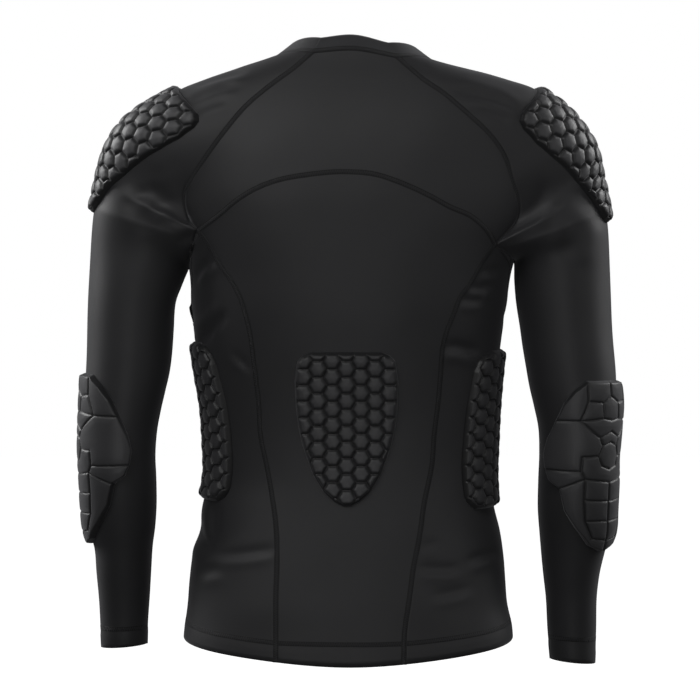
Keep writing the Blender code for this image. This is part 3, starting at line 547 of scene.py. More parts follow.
# %% [markdown]
# ## The collar
#
# The collar is a low band sewn round the neck, stretched a little so that it leans in.
# It is made as a strip that starts on the neck seam and rises along a leaning line, more
# upright at the back than at the sides, so it needs no points of its own but the seam's.

# %% Collar band on the neck seam
COLLAR_WIDTH = 22
COLLAR_LEAN_MIDDLE = 47
COLLAR_LEAN_SIDE = 58


def collar_grid(neck_rings):
    """Neck seam + share * width * rise, where rise leans in by an angle that grows sideways."""
    ring = np.vstack(neck_rings)
    keep = np.linalg.norm(np.diff(ring, axis=0), axis=1) > 0.01
    ring = np.vstack([ring[:1], ring[1:][keep]])
    middle = (ring.max(axis=0) + ring.min(axis=0)) / 2
    inward = unit((middle - ring) * (1, 1, 0))
    sideways = np.abs(inward[:, :1]) ** 3
    lean = COLLAR_LEAN_MIDDLE + (COLLAR_LEAN_SIDE - COLLAR_LEAN_MIDDLE) * sideways
    lean = np.radians(lean)
    rise = np.cos(lean) * np.array([0, 0, 1.0]) + np.sin(lean) * inward
    share = np.linspace(1, 0, COLLAR_STEPS + 1)[:, None, None]
    return ring[None] + share * COLLAR_WIDTH * rise[None]


# The front panel's top edge runs under the arm and up the front armhole before the neck
first_neck_column = SCOOP_STEPS - FINE + ARMHOLE_STEPS
front_neck = grids["front_panel"][0, first_neck_column:first_neck_column + FRONT_NECK_STEPS + 1]
grids["collar"] = collar_grid([grids["upper_back"][0], grids["sleeve_right"][0],
                               front_neck[::-1], grids["sleeve_left"][0][::-1]])
row_middles["collar"] = np.repeat(grids["collar"][-1].mean(axis=0)[None], COLLAR_STEPS + 1, axis=0)
normals["collar"] = grid_normals(grids["collar"], row_middles["collar"])
print("collar top line:", round(grids["collar"][0, :, 2].max()), "mm above the neck seam's level")

# %% [markdown]
# ## Creases
#
# Tight knit lies smooth, but it creases where it bends: under the arms, at the waist, and
# where a stiff pad pulls on it. A cloth simulation would put its creases in places of its
# own, so each one is placed here, as a soft trough with a low ridge beside it along
# a slightly bent line. A point of the cloth moves only along its own normal. Points that
# panels share first get one common normal, so that the seams stay closed.

# %% Each crease: two ends as x and below, half breadth, depth, bend to one side, face (back 1)
CREASES = [
    (172, 248, 145, 218, 5, 3.0, -4, 1),
    (132, 272, 168, 311, 6, 3.6, -3, 1),
    (146, 300, 168, 322, 5, 1.6, 1, 1),
    (128, 318, 110, 336, 4, 1.2, 1, 1),
    (120, 326, 104, 342, 4, 1.0, 1, 1),
    (172, 500, 150, 548, 8, 3.4, 3, 1),
    (147, 482, 149, 532, 5, 2.8, 1, 1),
    (152, 542, 74, 530, 5, 1.9, 2, 1),
    (168, 566, 138, 556, 6, 1.6, -2, 1),
    (-98, 312, -144, 323, 6, 3.2, -2, 1),
    (-116, 262, -146, 264, 4.5, 2.0, 1, 1),
    (-126, 249, -156, 250, 4.5, 2.0, 1, 1),
    (-140, 230, -166, 233, 4.5, 1.8, 1, 1),
    (-69, 551, -124, 554, 5, 2.2, 2, 1),
    (-124, 549, -165, 541, 5, 2.6, -2, 1),
    (-83, 583, -136, 574, 5, 1.6, 2, 1),
    (-74, 529, -98, 526, 5, 1.2, 1, 1),
    (200, 172, 226, 140, 11, 2.8, 3, 1),
    (214, 196, 240, 158, 11, 2.2, 3, 1),
    (248, 168, 222, 138, 7, 1.6, 2, 1),
    (-205, 205, -226, 150, 12, 3.0, 3, 1),
    (-226, 225, -248, 165, 12, 2.4, 3, 1),
    (-190, 188, -214, 130, 8, 1.8, 2, 1),
    (182, 38, 104, 15, 5, 2.8, -4, 1),
    (176, 48, 118, 30, 5, 2.0, -3, 1),
    (170, 60, 130, 46, 5, 1.4, -2, 1),
    (-186, 60, -104, 38, 6, 2.6, 4, 1),
    (-178, 74, -124, 60, 5, 1.7, 3, 1),
    (-92, 14, -56, 9, 4, 0.8, 1, 1),
    (196, 181, 166, 174, 5, 1.6, 1, 1),
    (190, 201, 163, 192, 5, 1.5, 1, 1),
    (150, 262, 172, 300, 8, 2.8, 2, -1),
    (-150, 258, -170, 296, 8, 2.8, -2, -1),
    (150, 545, 90, 552, 7, 2.2, 2, -1),
    (-150, 548, -88, 544, 7, 2.2, -2, -1),
    (196, 205, 228, 168, 11, 2.6, 2, -1),
    (-196, 208, -230, 170, 11, 2.6, -2, -1),
    (180, 62, 108, 58, 7, 1.4, 3, -1),
    (-182, 64, -110, 56, 7, 1.4, -3, -1),
]
# Height and place of the ridge beside a trough, and the share of a crease where it fades out
RIDGE_SHARE = 0.55
RIDGE_AWAY = 1.9
END_SHARE = 0.32
print("creases placed by hand:", len(CREASES))


# %% What the creases, the slack of the cloth and the turned hems add to the surface
def creased(points, normal):
    """Sum over the creases of depth * (ridge - trough), faded at both ends and by facing."""
    lift = np.zeros(points.shape[:-1])
    for x1, below1, x2, below2, breadth, depth, bend, face in CREASES:
        start = np.array([x1, -below1], float)
        run = np.array([x2, -below2], float) - start
        length = np.linalg.norm(run)
        offset = points[..., [0, 2]] - start
        share = offset @ run / length ** 2
        across = offset @ np.array([-run[1], run[0]]) / length
        away = (across - 4 * bend * np.clip(share, 0, 1) * (1 - np.clip(share, 0, 1))) / breadth
        trough = np.exp(-away ** 2)
        ridge = RIDGE_SHARE * np.exp(-(away - RIDGE_AWAY) ** 2)
        ends = smooth(share / END_SHARE) * smooth((1 - share) / END_SHARE)
        facing = smooth(0.5 + 1.5 * face * normal[..., 1])
        lift += depth * (ridge - trough) * ends * facing
    return lift


def slack(points):
    """Sum of three slow waves, under half a millimetre: stretched cloth is never quite even."""
    x, y, z = np.moveaxis(points, -1, 0)
    waves = 0.2 * np.sin(x / 23 + z / 61) + 0.15 * np.sin(z / 37 - x / 71 + 2)
    return waves + 0.1 * np.sin((x + z) / 13 + y / 40)


def arc_lengths(grid, axis):
    """Distance over the cloth from the grid's first row or column, in mm."""
    step = np.linalg.norm(np.diff(grid, axis=axis), axis=-1)
    first = np.zeros_like(np.take(step, [0], axis))
    return np.concatenate([first, np.cumsum(step, axis)], axis)


def common_normals(grids, normals):
    """Gives points where pieces meet the mean of their normals, so that they move together."""
    names = list(grids)
    points = np.concatenate([grids[name].reshape(-1, 3) for name in names])
    flat = np.concatenate([normals[name].reshape(-1, 3) for name in names])
    _, index = np.unique(np.round(points, 2), axis=0, return_inverse=True)
    index = index.reshape(-1)
    total = np.stack([np.bincount(index, flat[:, k]) for k in range(3)], axis=-1)
    shared = unit(total)[index]
    ends = np.cumsum([grids[name].shape[0] * grids[name].shape[1] for name in names])[:-1]
    parts = np.split(shared, ends)
    return {name: part.reshape(grids[name].shape) for name, part in zip(names, parts)}


# Height of a turned hem or cuff, how far it stands proud, and the run over which it rises
HEM_TURN = 18
HEM_LIFT = 0.45
HEM_RUN = 3
normals = common_normals(grids, normals)
cloth = {}
for name, grid in grids.items():
    lift = creased(grid, normals[name]) + slack(grid)
    if name not in ("collar", "upper_back"):
        from_edge = arc_lengths(grid[::-1], 0)[::-1]
        lift = lift + HEM_LIFT * smooth((HEM_TURN - from_edge) / HEM_RUN)
    cloth[name] = grid + lift[..., None] * normals[name]
    print(name, "moves in at most", round(-lift.min(), 1), "and out", round(lift.max(), 1), "mm")

# The normals of the creased cloth, for the stitching that lies on it
for name in flat_panels:
    row_middles[name] = cloth[name].mean(axis=1) * (0, 0, 1)
creased_normals = {name: grid_normals(cloth[name], row_middles[name]) for name in cloth}
creased_normals = common_normals(cloth, creased_normals)

# %% [markdown]
# ## From grids to pieces
#
# One helper turns a grid of points into a mesh with a UV map that is measured over the cloth
# in metres. The knit pattern follows that map round every bend, which a flat projection from
# one side could not do. Solidify then gives the cloth its real wall, inwards from the grid.


# %% Helpers that make a piece
def grid_faces(rows, columns, first=0):
    """Corner numbers of the quads between neighbouring rows and columns of a grid."""
    corner = first + (np.arange(rows - 1)[:, None] * columns + np.arange(columns - 1)).ravel()
    return np.stack([corner, corner + 1, corner + columns + 1, corner + columns], axis=-1)


def new_piece(name, points, faces, finish, places, rise=None):
    """A mesh object at the origin, with places as its UV map and rise as a point attribute."""
    mesh = bpy.data.meshes.new(name)
    mesh.from_pydata((points * MM).tolist(), [], faces)
    corner = np.empty(len(mesh.loops), np.int32)
    mesh.loops.foreach_get("vertex_index", corner)
    layer = mesh.uv_layers.new(name="over_the_cloth")
    layer.data.foreach_set("uv", (places * MM)[corner].astype(np.float32).ravel())
    if rise is not None:
        attribute = mesh.attributes.new("rise", "FLOAT", "POINT")
        attribute.data.foreach_set("value", rise.astype(np.float32))
    mesh.shade_smooth()
    mesh.materials.append(finish)
    piece = bpy.data.objects.new(name, mesh)
    bpy.context.scene.collection.objects.link(piece)
    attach(piece, "root")
    return piece


def outward_faces(grid, normal):
    """The grid's quads, wound so that they face the way that the normals point."""
    faces = grid_faces(*grid.shape[:2])
    row, column = grid.shape[0] // 2, grid.shape[1] // 2
    down = grid[row + 1, column] - grid[row, column]
    across = grid[row, column + 1] - grid[row, column]
    faces_out = np.cross(across, down) @ normal[row, column] > 0
    return faces if faces_out else faces[:, ::-1]


print("quads on the back:", len(grid_faces(*cloth["centre_back"].shape[:2])))

# %% [markdown]
# ## Finishes
#
# Everything is black, so the finishes differ by how they take the light, not by hue.
# The shell is a warp knit of polyester and elastane: smooth, with a soft sheen. The collar
# is a rib knit, the pads are foam moulded under the same knit, and the seams are sewn with
# textured polyester thread. Colours start from hex values as a photo editor would give them.


# %% Helpers for materials
def linear(hex_colour):
    """sRGB hex to linear light: c / 12.92 in the dark part, else ((c + 0.055) / 1.055)^2.4."""
    parts = np.array([int(hex_colour[i:i + 2], 16) for i in (1, 3, 5)]) / 255
    light = np.where(parts <= 0.04045, parts / 12.92, ((parts + 0.055) / 1.055) ** 2.4)
    return (*light.tolist(), 1)


def add(tree, kind, settings=None, links=None):
    """Adds a node, sets its inputs or properties, and links inputs from (node, output)."""
    node = tree.nodes.new(kind)
    for key, value in (settings or {}).items():
        if isinstance(key, int) or key in node.inputs:
            node.inputs[key].default_value = value
        else:
            setattr(node, key, value)
    for key, (source, output) in (links or {}).items():
        tree.links.new(source.outputs[output], node.inputs[key])
    return node


def new_material(name, roughness, sheen, specular):
    """An empty material with a Principled surface, whose even values sit on its own sockets."""
    made = bpy.data.materials.new(name)
    made.use_nodes = True
    surface = made.node_tree.nodes["Principled BSDF"]
    surface.inputs["Roughness"].default_value = roughness
    surface.inputs["Sheen Weight"].default_value = sheen
    surface.inputs["Sheen Roughness"].default_value = 0.45
    surface.inputs["Sheen Tint"].default_value = linear("#c8c8cc")
    surface.inputs["Specular IOR Level"].default_value = specular
    return made, made.node_tree, surface


print("mid grey #808080 in linear light:", round(linear("#808080")[0], 3))


# %% Knit: wales and courses as two sets of waves over the cloth's own UV map
WAVE_PER_SCALE = 2 * np.pi / 20


def knit_material(name, dark, light, wale_mm, course_mm, depth_mm, roughness, sheen, specular):
    """Wale waves times course waves give loops, and a slow noise varies the shade a little."""
    made, tree, surface = new_material(name, roughness, sheen, specular)
    place = add(tree, "ShaderNodeUVMap", {"uv_map": "over_the_cloth"})
    wales = add(tree, "ShaderNodeTexWave",
                {"bands_direction": "X", "Scale": WAVE_PER_SCALE / (wale_mm * MM),
                 "Distortion": 0.6, "Detail": 1.0}, {"Vector": (place, "UV")})
    courses = add(tree, "ShaderNodeTexWave",
                  {"bands_direction": "Y", "Scale": WAVE_PER_SCALE / (course_mm * MM),
                   "Distortion": 0.6, "Detail": 1.0}, {"Vector": (place, "UV")})
    loops = add(tree, "ShaderNodeMath", {"operation": "MULTIPLY"},
                {0: (wales, "Fac"), 1: (courses, "Fac")})
    body = add(tree, "ShaderNodeTexCoord")
    shade = add(tree, "ShaderNodeTexNoise", {"Scale": 9.0, "Detail": 3.0},
                {"Vector": (body, "Object")})
    mixed = add(tree, "ShaderNodeMath", {"operation": "MULTIPLY_ADD", 1: 0.35},
                {0: (loops, "Value"), 2: (shade, "Fac")})
    colour = add(tree, "ShaderNodeMix", {"data_type": "RGBA", 6: linear(dark), 7: linear(light)},
                 {0: (mixed, "Value")})
    bump = add(tree, "ShaderNodeBump", {"Strength": 1.0, "Distance": depth_mm * MM},
               {"Height": (loops, "Value")})
    tree.links.new(colour.outputs[2], surface.inputs["Base Color"])
    tree.links.new(bump.outputs["Normal"], surface.inputs["Normal"])
    return made, tree, surface, colour


# The real loops are about 0.4 mm, too fine for this view, so they are drawn near 1.5 mm
shell_knit = knit_material("warp-knit polyester and elastane", "#1d1d1e", "#28282a",
                           1.3, 1.6, 0.035, 0.53, 0.24, 0.4)[0]
# The collar's rib has a real pitch of about 1.5 mm, and is drawn at 2 mm
collar_knit = knit_material("rib-knit polyester", "#202021", "#303032",
                            2.0, 1.5, 0.12, 0.6, 0.3, 0.4)[0]
print("knits:", shell_knit.name, "and", collar_knit.name)

# %% Moulded foam under knit, with painted shade: the colour falls to near black in the grooves between the cells
pad_face, tree, surface, colour = knit_material(
    "knit-faced moulded EVA foam with painted groove shade", "#2a2a2b", "#3a3a3c", 1.3, 1.6, 0.03, 0.48, 0.34, 0.46)
# Painted shade: where the share risen is 0, in the grooves, the colour is mixed towards #0d0d0e,
# and the risen crowns keep the knit's colour
rise = add(tree, "ShaderNodeAttribute", {"attribute_name": "rise"})
crown = add(tree, "ShaderNodeMix", {"data_type": "RGBA", 6: linear("#0d0d0e")},
            {0: (rise, "Fac"), 7: (colour, 2)})
tree.links.new(crown.outputs[2], surface.inputs["Base Color"])
print("pad faces:", pad_face.name)

# %% Thread: two needle lines, painted darker than the thread as shade in their grooves, and a looper zigzag, drawn over the tape's own UV map
STITCH_MM = 2.6
NEEDLE_MM = 2.1
thread, tree, surface = new_material("textured polyester thread", 0.62, 0.25, 0.35)
place = add(tree, "ShaderNodeUVMap", {"uv_map": "over_the_cloth"})
parts = add(tree, "ShaderNodeSeparateXYZ", links={"Vector": (place, "UV")})
beat = add(tree, "ShaderNodeMath", {"operation": "MULTIPLY", 1: 1 / (STITCH_MM * MM)},
           {0: (parts, "X")})
zigzag = add(tree, "ShaderNodeMath", {"operation": "PINGPONG", 1: 0.5}, {0: (beat, "Value")})
swing = add(tree, "ShaderNodeMath", {"operation": "MULTIPLY_ADD", 1: 4 * NEEDLE_MM * MM,
                                     2: -NEEDLE_MM * MM}, {0: (zigzag, "Value")})
away = add(tree, "ShaderNodeMath", {"operation": "SUBTRACT"},
           {0: (parts, "Y"), 1: (swing, "Value")})
apart = add(tree, "ShaderNodeMath", {"operation": "ABSOLUTE"}, {0: (away, "Value")})
strand = add(tree, "ShaderNodeMapRange", {"From Min": 0.0, "From Max": 0.9 * MM,
                                          "To Min": 1.0, "To Max": 0.0},
             {"Value": (apart, "Value")})
looper = add(tree, "ShaderNodeMix", {"data_type": "RGBA", 6: linear("#171718"),
                                     7: linear("#27272a")}, {0: (strand, "Result")})
off_middle = add(tree, "ShaderNodeMath", {"operation": "ABSOLUTE"}, {0: (parts, "Y")})
past = add(tree, "ShaderNodeMath", {"operation": "SUBTRACT", 1: NEEDLE_MM * MM},
           {0: (off_middle, "Value")})
from_needle = add(tree, "ShaderNodeMath", {"operation": "ABSOLUTE"}, {0: (past, "Value")})
needle = add(tree, "ShaderNodeMapRange", {"From Min": 0.25 * MM, "From Max": 0.75 * MM,
                                          "To Min": 1.0, "To Max": 0.0},
             {"Value": (from_needle, "Value")})
# The needle lines are black thread, and their near black #070708 is also painted shade for the
# grooves where they sink into the seam
colour = add(tree, "ShaderNodeMix", {"data_type": "RGBA", 7: linear("#070708")},
             {0: (needle, "Result"), 6: (looper, 2)})
bump = add(tree, "ShaderNodeBump", {"Strength": 1.0, "Distance": 0.2 * MM},
           {"Height": (strand, "Result")})
tree.links.new(colour.outputs[2], surface.inputs["Base Color"])
tree.links.new(bump.outputs["Normal"], surface.inputs["Normal"])
print("stitches:", STITCH_MM, "mm long, needle lines", 2 * NEEDLE_MM, "mm apart")

# %% [markdown]
# ## The cloth pieces
#
# Each panel stands in for its plain solid. Its cut size is stated too, as a cutter would
# need it. The knit is cut narrower than the body and stretches when it is put on, by about a
# tenth across and a few hundredths along.

# %% Panels, sleeves and collar
CLOTH_WALL = 1.2
COLLAR_WALL = 1.8
STRETCH_ACROSS = 1.10
STRETCH_ALONG = 1.03
BELOW_ARMHOLE = 5 * FINE
cut_sizes = {}
for name, grid in cloth.items():
    across = arc_lengths(grid, 1)
    down = arc_lengths(grid, 0)
    places = np.stack([across, down], axis=-1).reshape(-1, 2)
    faces = outward_faces(grid, creased_normals[name])
    finish = collar_knit if name == "collar" else shell_knit
    piece = new_piece(name + "_cloth", grid.reshape(-1, 3), faces, finish, places)
    wall = piece.modifiers.new("wall", "SOLIDIFY")
    wall.thickness = (COLLAR_WALL if name == "collar" else CLOTH_WALL) * MM
    wall.offset = -1
    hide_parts(name)
    sides = grid.reshape(-1, 3)[faces]
    halves = np.cross(sides[:, 2] - sides[:, 0], sides[:, 3] - sides[:, 1])
    worn = np.linalg.norm(halves, axis=-1).sum() / 2
    # The front panel's top row runs over both raglan seams, so its width is read lower down
    width = across[BELOW_ARMHOLE if name == "front_panel" else 0:, -1].max() / STRETCH_ACROSS
    length = down[-1].max() / STRETCH_ALONG
    area = worn / STRETCH_ACROSS / STRETCH_ALONG
    cut_sizes[name] = [round(width * MM, 4), round(length * MM, 4), round(area * MM * MM, 5)]
    print(name, "cut", cut_sizes[name][:2], "m, area", cut_sizes[name][2], "square metres")

# %% [markdown]
# ## Stitching
#
# Flatlock seams join the panels: two needle lines about 4 mm apart, with looper threads
# zigzagging between them, on a seam that stands barely proud. Each is a narrow profile
# carried along the seam's own points, which are an edge of a panel's grid, so it follows
# every crease. The hems and cuffs are turned up and held by the same two needle lines.

# %% Profiles as across and height, and the strips carried along the seams
SEAM_PROFILE = [(-3.0, -0.3), (-2.75, 0.34), (-2.35, 0.42), (-2.1, 0.16), (-1.8, 0.34), (0, 0.48),
                (1.8, 0.34), (2.1, 0.16), (2.35, 0.42), (2.75, 0.34), (3.0, -0.3)]
HEM_PROFILE = [(-2.7, -0.3), (-2.45, 0.2), (-2.1, 0.06), (-1.75, 0.12), (0, 0.14),
               (1.75, 0.12), (2.1, 0.06), (2.45, 0.2), (2.7, -0.3)]
STRIP_STEP = 1.7


def strip(path, normal, profile):
    """Profile carried along a path: path + across * side + height * normal at each step."""
    along = np.concatenate([[0], np.cumsum(np.linalg.norm(np.diff(path, axis=0), axis=1))])
    at = np.linspace(0, along[-1], int(along[-1] / STRIP_STEP) + 2)
    both = cubic(along, np.hstack([path, normal]), at)
    path, normal = both[:, :3], unit(both[:, 3:])
    tangent = unit(np.gradient(path, axis=0))
    side = unit(np.cross(normal, tangent))
    profile = np.array(profile)
    across = profile[:, 0][None, :, None] * side[:, None]
    height = profile[:, 1][None, :, None] * normal[:, None]
    places = np.stack(np.broadcast_arrays(at[:, None], profile[:, 0]), axis=-1)
    return path[:, None] + across + height, places, normal


def strips_piece(name, runs):
    """One piece of stitching from several runs, each a path, its normals and a profile."""
    points = []
    places = []
    faces = []
    first = 0
    for path, normal, profile in runs:
        grid, place, up = strip(path, normal, profile)
        middle = len(profile) // 2
        turn = np.cross(grid[0, middle + 1] - grid[0, middle], grid[1, middle] - grid[0, middle])
        quads = grid_faces(*grid.shape[:2], first)
        faces.append(quads if turn @ up[0] > 0 else quads[:, ::-1])
        points.append(grid.reshape(-1, 3))
        places.append(place.reshape(-1, 2))
        first += len(points[-1])
    piece = new_piece(name, np.vstack(points), np.vstack(faces), thread, np.vstack(places))
    return piece


def edge(name, rows, columns):
    """A row or column of a panel's grid as a path, with its normals."""
    return cloth[name][rows, columns], creased_normals[name][rows, columns]


everything = slice(None)
# The hem's stitches run along the grid row at the turn's height
HEM_ROW_MM = 3.6
hem_row = -1 - round(HEM_TURN / HEM_ROW_MM)
stitching = {
    "upper_back": [(*edge("centre_back", 0, everything), SEAM_PROFILE)],
    "centre_back": [(*edge("centre_back", hem_row, everything), HEM_PROFILE)],
    "front_panel": [(*edge("front_panel", hem_row, everything), HEM_PROFILE)],
    "collar": [(*edge("collar", -1, everything), SEAM_PROFILE)],
}
for side, column in (("left", 0), ("right", -1)):
    panel = "side_panel_" + side
    stitching[panel] = [(*edge("centre_back", everything, column), SEAM_PROFILE),
                        (*edge(panel, everything, -1), SEAM_PROFILE),
                        (*edge(panel, hem_row, everything), HEM_PROFILE)]
    sleeve = "sleeve_" + side
    armhole_rows = slice(0, ARMHOLE_STEPS + 1)
    stitching[sleeve] = [(*edge(sleeve, everything, 0), SEAM_PROFILE),
                         (*edge(sleeve, armhole_rows, -1), SEAM_PROFILE),
                         (*edge(sleeve, hem_row, everything), HEM_PROFILE)]
for name, runs in stitching.items():
    sewn = strips_piece(name + "_stitching", runs)
    width, length, area = cut_sizes[name]
    print(sewn.name, len(sewn.data.polygons), "quads")

# %% [markdown]
# ## Foam pads
#
# The pads are sheets of EVA foam pressed under the knit into pillowed cells with grooves
# between them, so that they bend. On the trunk and the shoulders the cells are a honeycomb.
# Its relief is a height worked out at every point of a fine grid: the distance to the
# nearest cell wall, rounded off. Modelling each hexagon by hand would take hundreds of faces
# to place, and bevels would pinch at the cells that the pad's edge cuts.

# %% Pad outlines as distance down and half width, and where each pad sits
TAIL_PAD = [(0, 38), (4, 47), (10, 52.6), (32, 55.5), (60, 54.5), (82, 52), (101, 48), (133, 37),
            (153, 25), (163, 14), (168, 4)]
RIB_PAD = [(0, 20), (3, 32), (10, 41), (22, 46), (60, 48.5), (120, 49.5), (160, 48), (168, 44),
           (173, 36)]
SHOULDER_PAD = [(0, 44), (4, 53), (12, 58), (30, 60), (50, 56), (75, 47), (100, 38), (125, 29),
                (150, 21), (161, 15), (168, 7)]
TAIL_PAD_TOP = (3.5, 319)
TAIL_PAD_HALF = 80
RIB_PAD_TOP = {"left": (6, 312), "right": (9, 320)}
SHOULDER_PAD_START = {"left": 108, "right": 110}
# How far the top of its middle line lies behind the arm's outermost line, and how it is turned
SHOULDER_PAD_BACK = {"left": 48, "right": 38}
SHOULDER_PAD_TILT = {"left": 14, "right": 8}
ELBOW_PAD_TOP = {"left": 345, "right": 352}
ELBOW_PAD_TURN = {"left": 80, "right": 46}
CELL_ACROSS = 17.7
print("hexagons", CELL_ACROSS, "mm across")

# %% Elbow pad: corners as across and down, the cells as runs of corners
# A lower-case letter is the corner's mirror image on the other side of the middle line
ELBOW_CORNERS = {
    "A": (26, 2), "B": (40, 13), "C": (52, 27), "D": (61, 46), "E": (70, 66), "F": (75, 84),
    "G": (72, 100), "H": (66, 113), "I": (54, 121), "J": (47, 146), "K": (34, 166), "L": (18, 186),
    "M": (26, 24), "N": (11, 26), "O": (10, 43), "P": (27, 132), "Q": (34, 46), "R": (25, 155),
    "S": (14, 64), "T": (17, 175), "U": (10, 73), "V": (14, 84), "W": (10, 95), "X": (31, 101),
    "Y": (30, 85), "Z": (27, 109),
    "1": (0, 2), "2": (0, 19), "3": (0, 45), "4": (0, 57), "5": (0, 69), "6": (0, 99),
    "7": (0, 113), "8": (0, 134), "9": (0, 156), "0": (0, 178), "-": (0, 194),
}
ELBOW_CELLS = ["1AMN2", "NMQO", "ABCDQM", "2NO3on", "3OQS4sqo", "4SU5us", "5UVW6wvu", "DEFGXYVUSQ",
               "YVW6wvyxz7ZX", "GHIZX", "7ZP8", "8PR9", "9RT0", "IJKL-0TRPZ"]
ELBOW_PAD = [(2, 26), (13, 40), (27, 52), (46, 61), (66, 70), (84, 75), (100, 72), (113, 66),
             (121, 54), (146, 47), (166, 34), (186, 18), (193, 3), (194, 1)]
print("cells in half an elbow pad:", len(ELBOW_CELLS))


# %% Distances to the cell walls
def honeycomb_distance(across, down):
    """Half a cell less the largest of three slanted offsets from the nearest cell's middle."""
    column = CELL_ACROSS * np.sqrt(3) / 2
    nearest = []
    for shift in (0, 1):
        a = across - column * (shift + 2 * np.round((across / column - shift) / 2))
        b = down - CELL_ACROSS * (shift / 2 + np.round(down / CELL_ACROSS - shift / 2))
        slanted = np.abs(a) * np.cos(np.pi / 6) + np.abs(b) / 2
        nearest.append(np.maximum(slanted, np.abs(b)))
    return CELL_ACROSS / 2 - np.minimum(*nearest)


def line_distance(across, down, lines):
    """Distance to the nearest of several straight lines, each kept within its two ends."""
    place = np.stack([across, down], axis=-1)
    nearest = np.full(across.shape, np.inf)
    for start, end in lines:
        run = end - start
        share = np.clip((place - start) @ run / (run @ run), 0, 1)
        away = np.linalg.norm(place - start - share[..., None] * run, axis=-1)
        nearest = np.minimum(nearest, away)
    return nearest


def loop_lines(loop):
    """The straight lines between a closed loop's points."""
    return [(start, end) for start, end in zip(loop, np.roll(loop, -1, axis=0))]


def elbow_lines():
    """Every cell wall of an elbow pad, both halves."""
    corners = {key: np.array(place, float) for key, place in ELBOW_CORNERS.items()}
    mirror = {key.lower(): corner * (-1, 1) for key, corner in corners.items() if key.isupper()}
    corners.update(mirror)
    runs = ELBOW_CELLS + [run.swapcase() for run in ELBOW_CELLS]
    return [line for run in runs for line in loop_lines(np.array([corners[key] for key in run]))]


elbow_walls = elbow_lines()
print("elbow cell walls:", len(elbow_walls))

# %% The pad itself: relief on a fine grid, closed below by a coarser one
PAD_STEP = 0.95
COARSE = 4
# Heights over the seat: the underside, the lip at the border, and the cells
PAD_FLOOR = -0.4
PAD_EDGE = 3.2
PAD_TOP = 7.4
# Distances from the border: where the cells end, where the groove floor is reached, and how
# far the lip's edge is rounded
PAD_LIP = 1.6
LIP_RUN = 3
EDGE_ROUND = 2.2


def relief(wall, border, reach, groove, floor, crown):
    """Groove floor, plus a quarter-round shoulder over reach, plus a dome; and the share risen."""
    inner = np.minimum(wall, border - PAD_LIP)
    t = np.clip((inner - groove) / reach, 0, 1)
    shoulder = np.sqrt(1 - (1 - t) ** 2)
    dome = crown * smooth(inner / (CELL_ACROSS / 2))
    edge_share = np.clip(border / EDGE_ROUND, 0, 1)
    base = PAD_EDGE + (floor - PAD_EDGE) * smooth(border / LIP_RUN)
    base = base * np.sqrt(1 - (1 - edge_share) ** 2)
    return base + (PAD_TOP - floor) * shoulder + dome, t


def padded_shell(top, bottom):
    """Closed mesh: the relief, a coarser floor, and a side that joins every fourth point."""
    rows, columns = top.shape[:2]
    low_rows, low_columns = bottom.shape[:2]
    count = rows * columns

    def around(rows, columns, first):
        index = first + np.arange(rows * columns).reshape(rows, columns)
        return np.concatenate([index[0, :-1], index[:-1, -1], index[-1, :0:-1], index[:0:-1, 0]])

    upper = around(rows, columns, 0)
    lower = around(low_rows, low_columns, count)
    fans = np.stack([np.roll(upper, -k)[::COARSE] for k in range(COARSE + 1)], axis=-1)
    sides = np.hstack([fans, np.roll(lower, -1)[:, None], lower[:, None]])
    faces = grid_faces(rows, columns).tolist()
    faces += grid_faces(low_rows, low_columns, count)[:, ::-1].tolist()
    faces += sides[:, ::-1].tolist()
    return np.vstack([top.reshape(-1, 3), bottom.reshape(-1, 3)]), faces


def pad_piece(name, profile, place, walls, cells):
    """A pad on its place, with cell walls from a function of across and down."""
    profile = np.array(profile, float)
    rows = COARSE * round(profile[-1, 0] / PAD_STEP / COARSE) + 1
    columns = COARSE * round(2 * profile[:, 1].max() / PAD_STEP / COARSE) + 1
    down = np.linspace(profile[0, 0], profile[-1, 0], rows)[:, None] + np.zeros(columns)
    half = np.interp(down, profile[:, 0], profile[:, 1])
    across = half * np.linspace(-1, 1, columns)
    outline = np.vstack([profile[:, ::-1], profile[::-1, ::-1] * (-1, 1)])
    border = line_distance(across, down, loop_lines(outline))
    height, rise = relief(walls(across, down), border, *cells)
    seat, normal = place(down, across)
    top = seat + height[..., None] * normal
    low = seat[::COARSE, ::COARSE] + PAD_FLOOR * normal[::COARSE, ::COARSE]
    points, faces = padded_shell(top, low)
    row, column = rows // 2, columns // 2
    corner = top[row, column]
    turn = np.cross(top[row, column + 1] - corner, top[row + 1, column] - corner)
    if turn @ normal[row, column] < 0:
        faces = [face[::-1] for face in faces]
    places = np.stack([across, down], axis=-1)
    low_places = places[::COARSE, ::COARSE].reshape(-1, 2)
    places = np.vstack([places.reshape(-1, 2), low_places])
    rise = np.concatenate([rise.ravel(), np.zeros(len(low_places))])
    piece = new_piece(name + "_foam", points, faces, pad_face, places, rise)
    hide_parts(name)
    print(piece.name, len(faces), "faces")
    return piece


def trunk_place(angle, top):
    """Maps distances down and across a pad to points and normals on the trunk."""
    def placed(down, across):
        below = top + down
        start_turn = np.full(np.shape(down), angle, float)
        turn = walked(lambda at: trunk(at, below), start_turn, across)
        return trunk(turn, below), trunk_normal(turn, below)
    return placed


def elbow_distance(across, down):
    """Distance to the elbow pad's nearest cell wall."""
    return line_distance(across, down, elbow_walls)


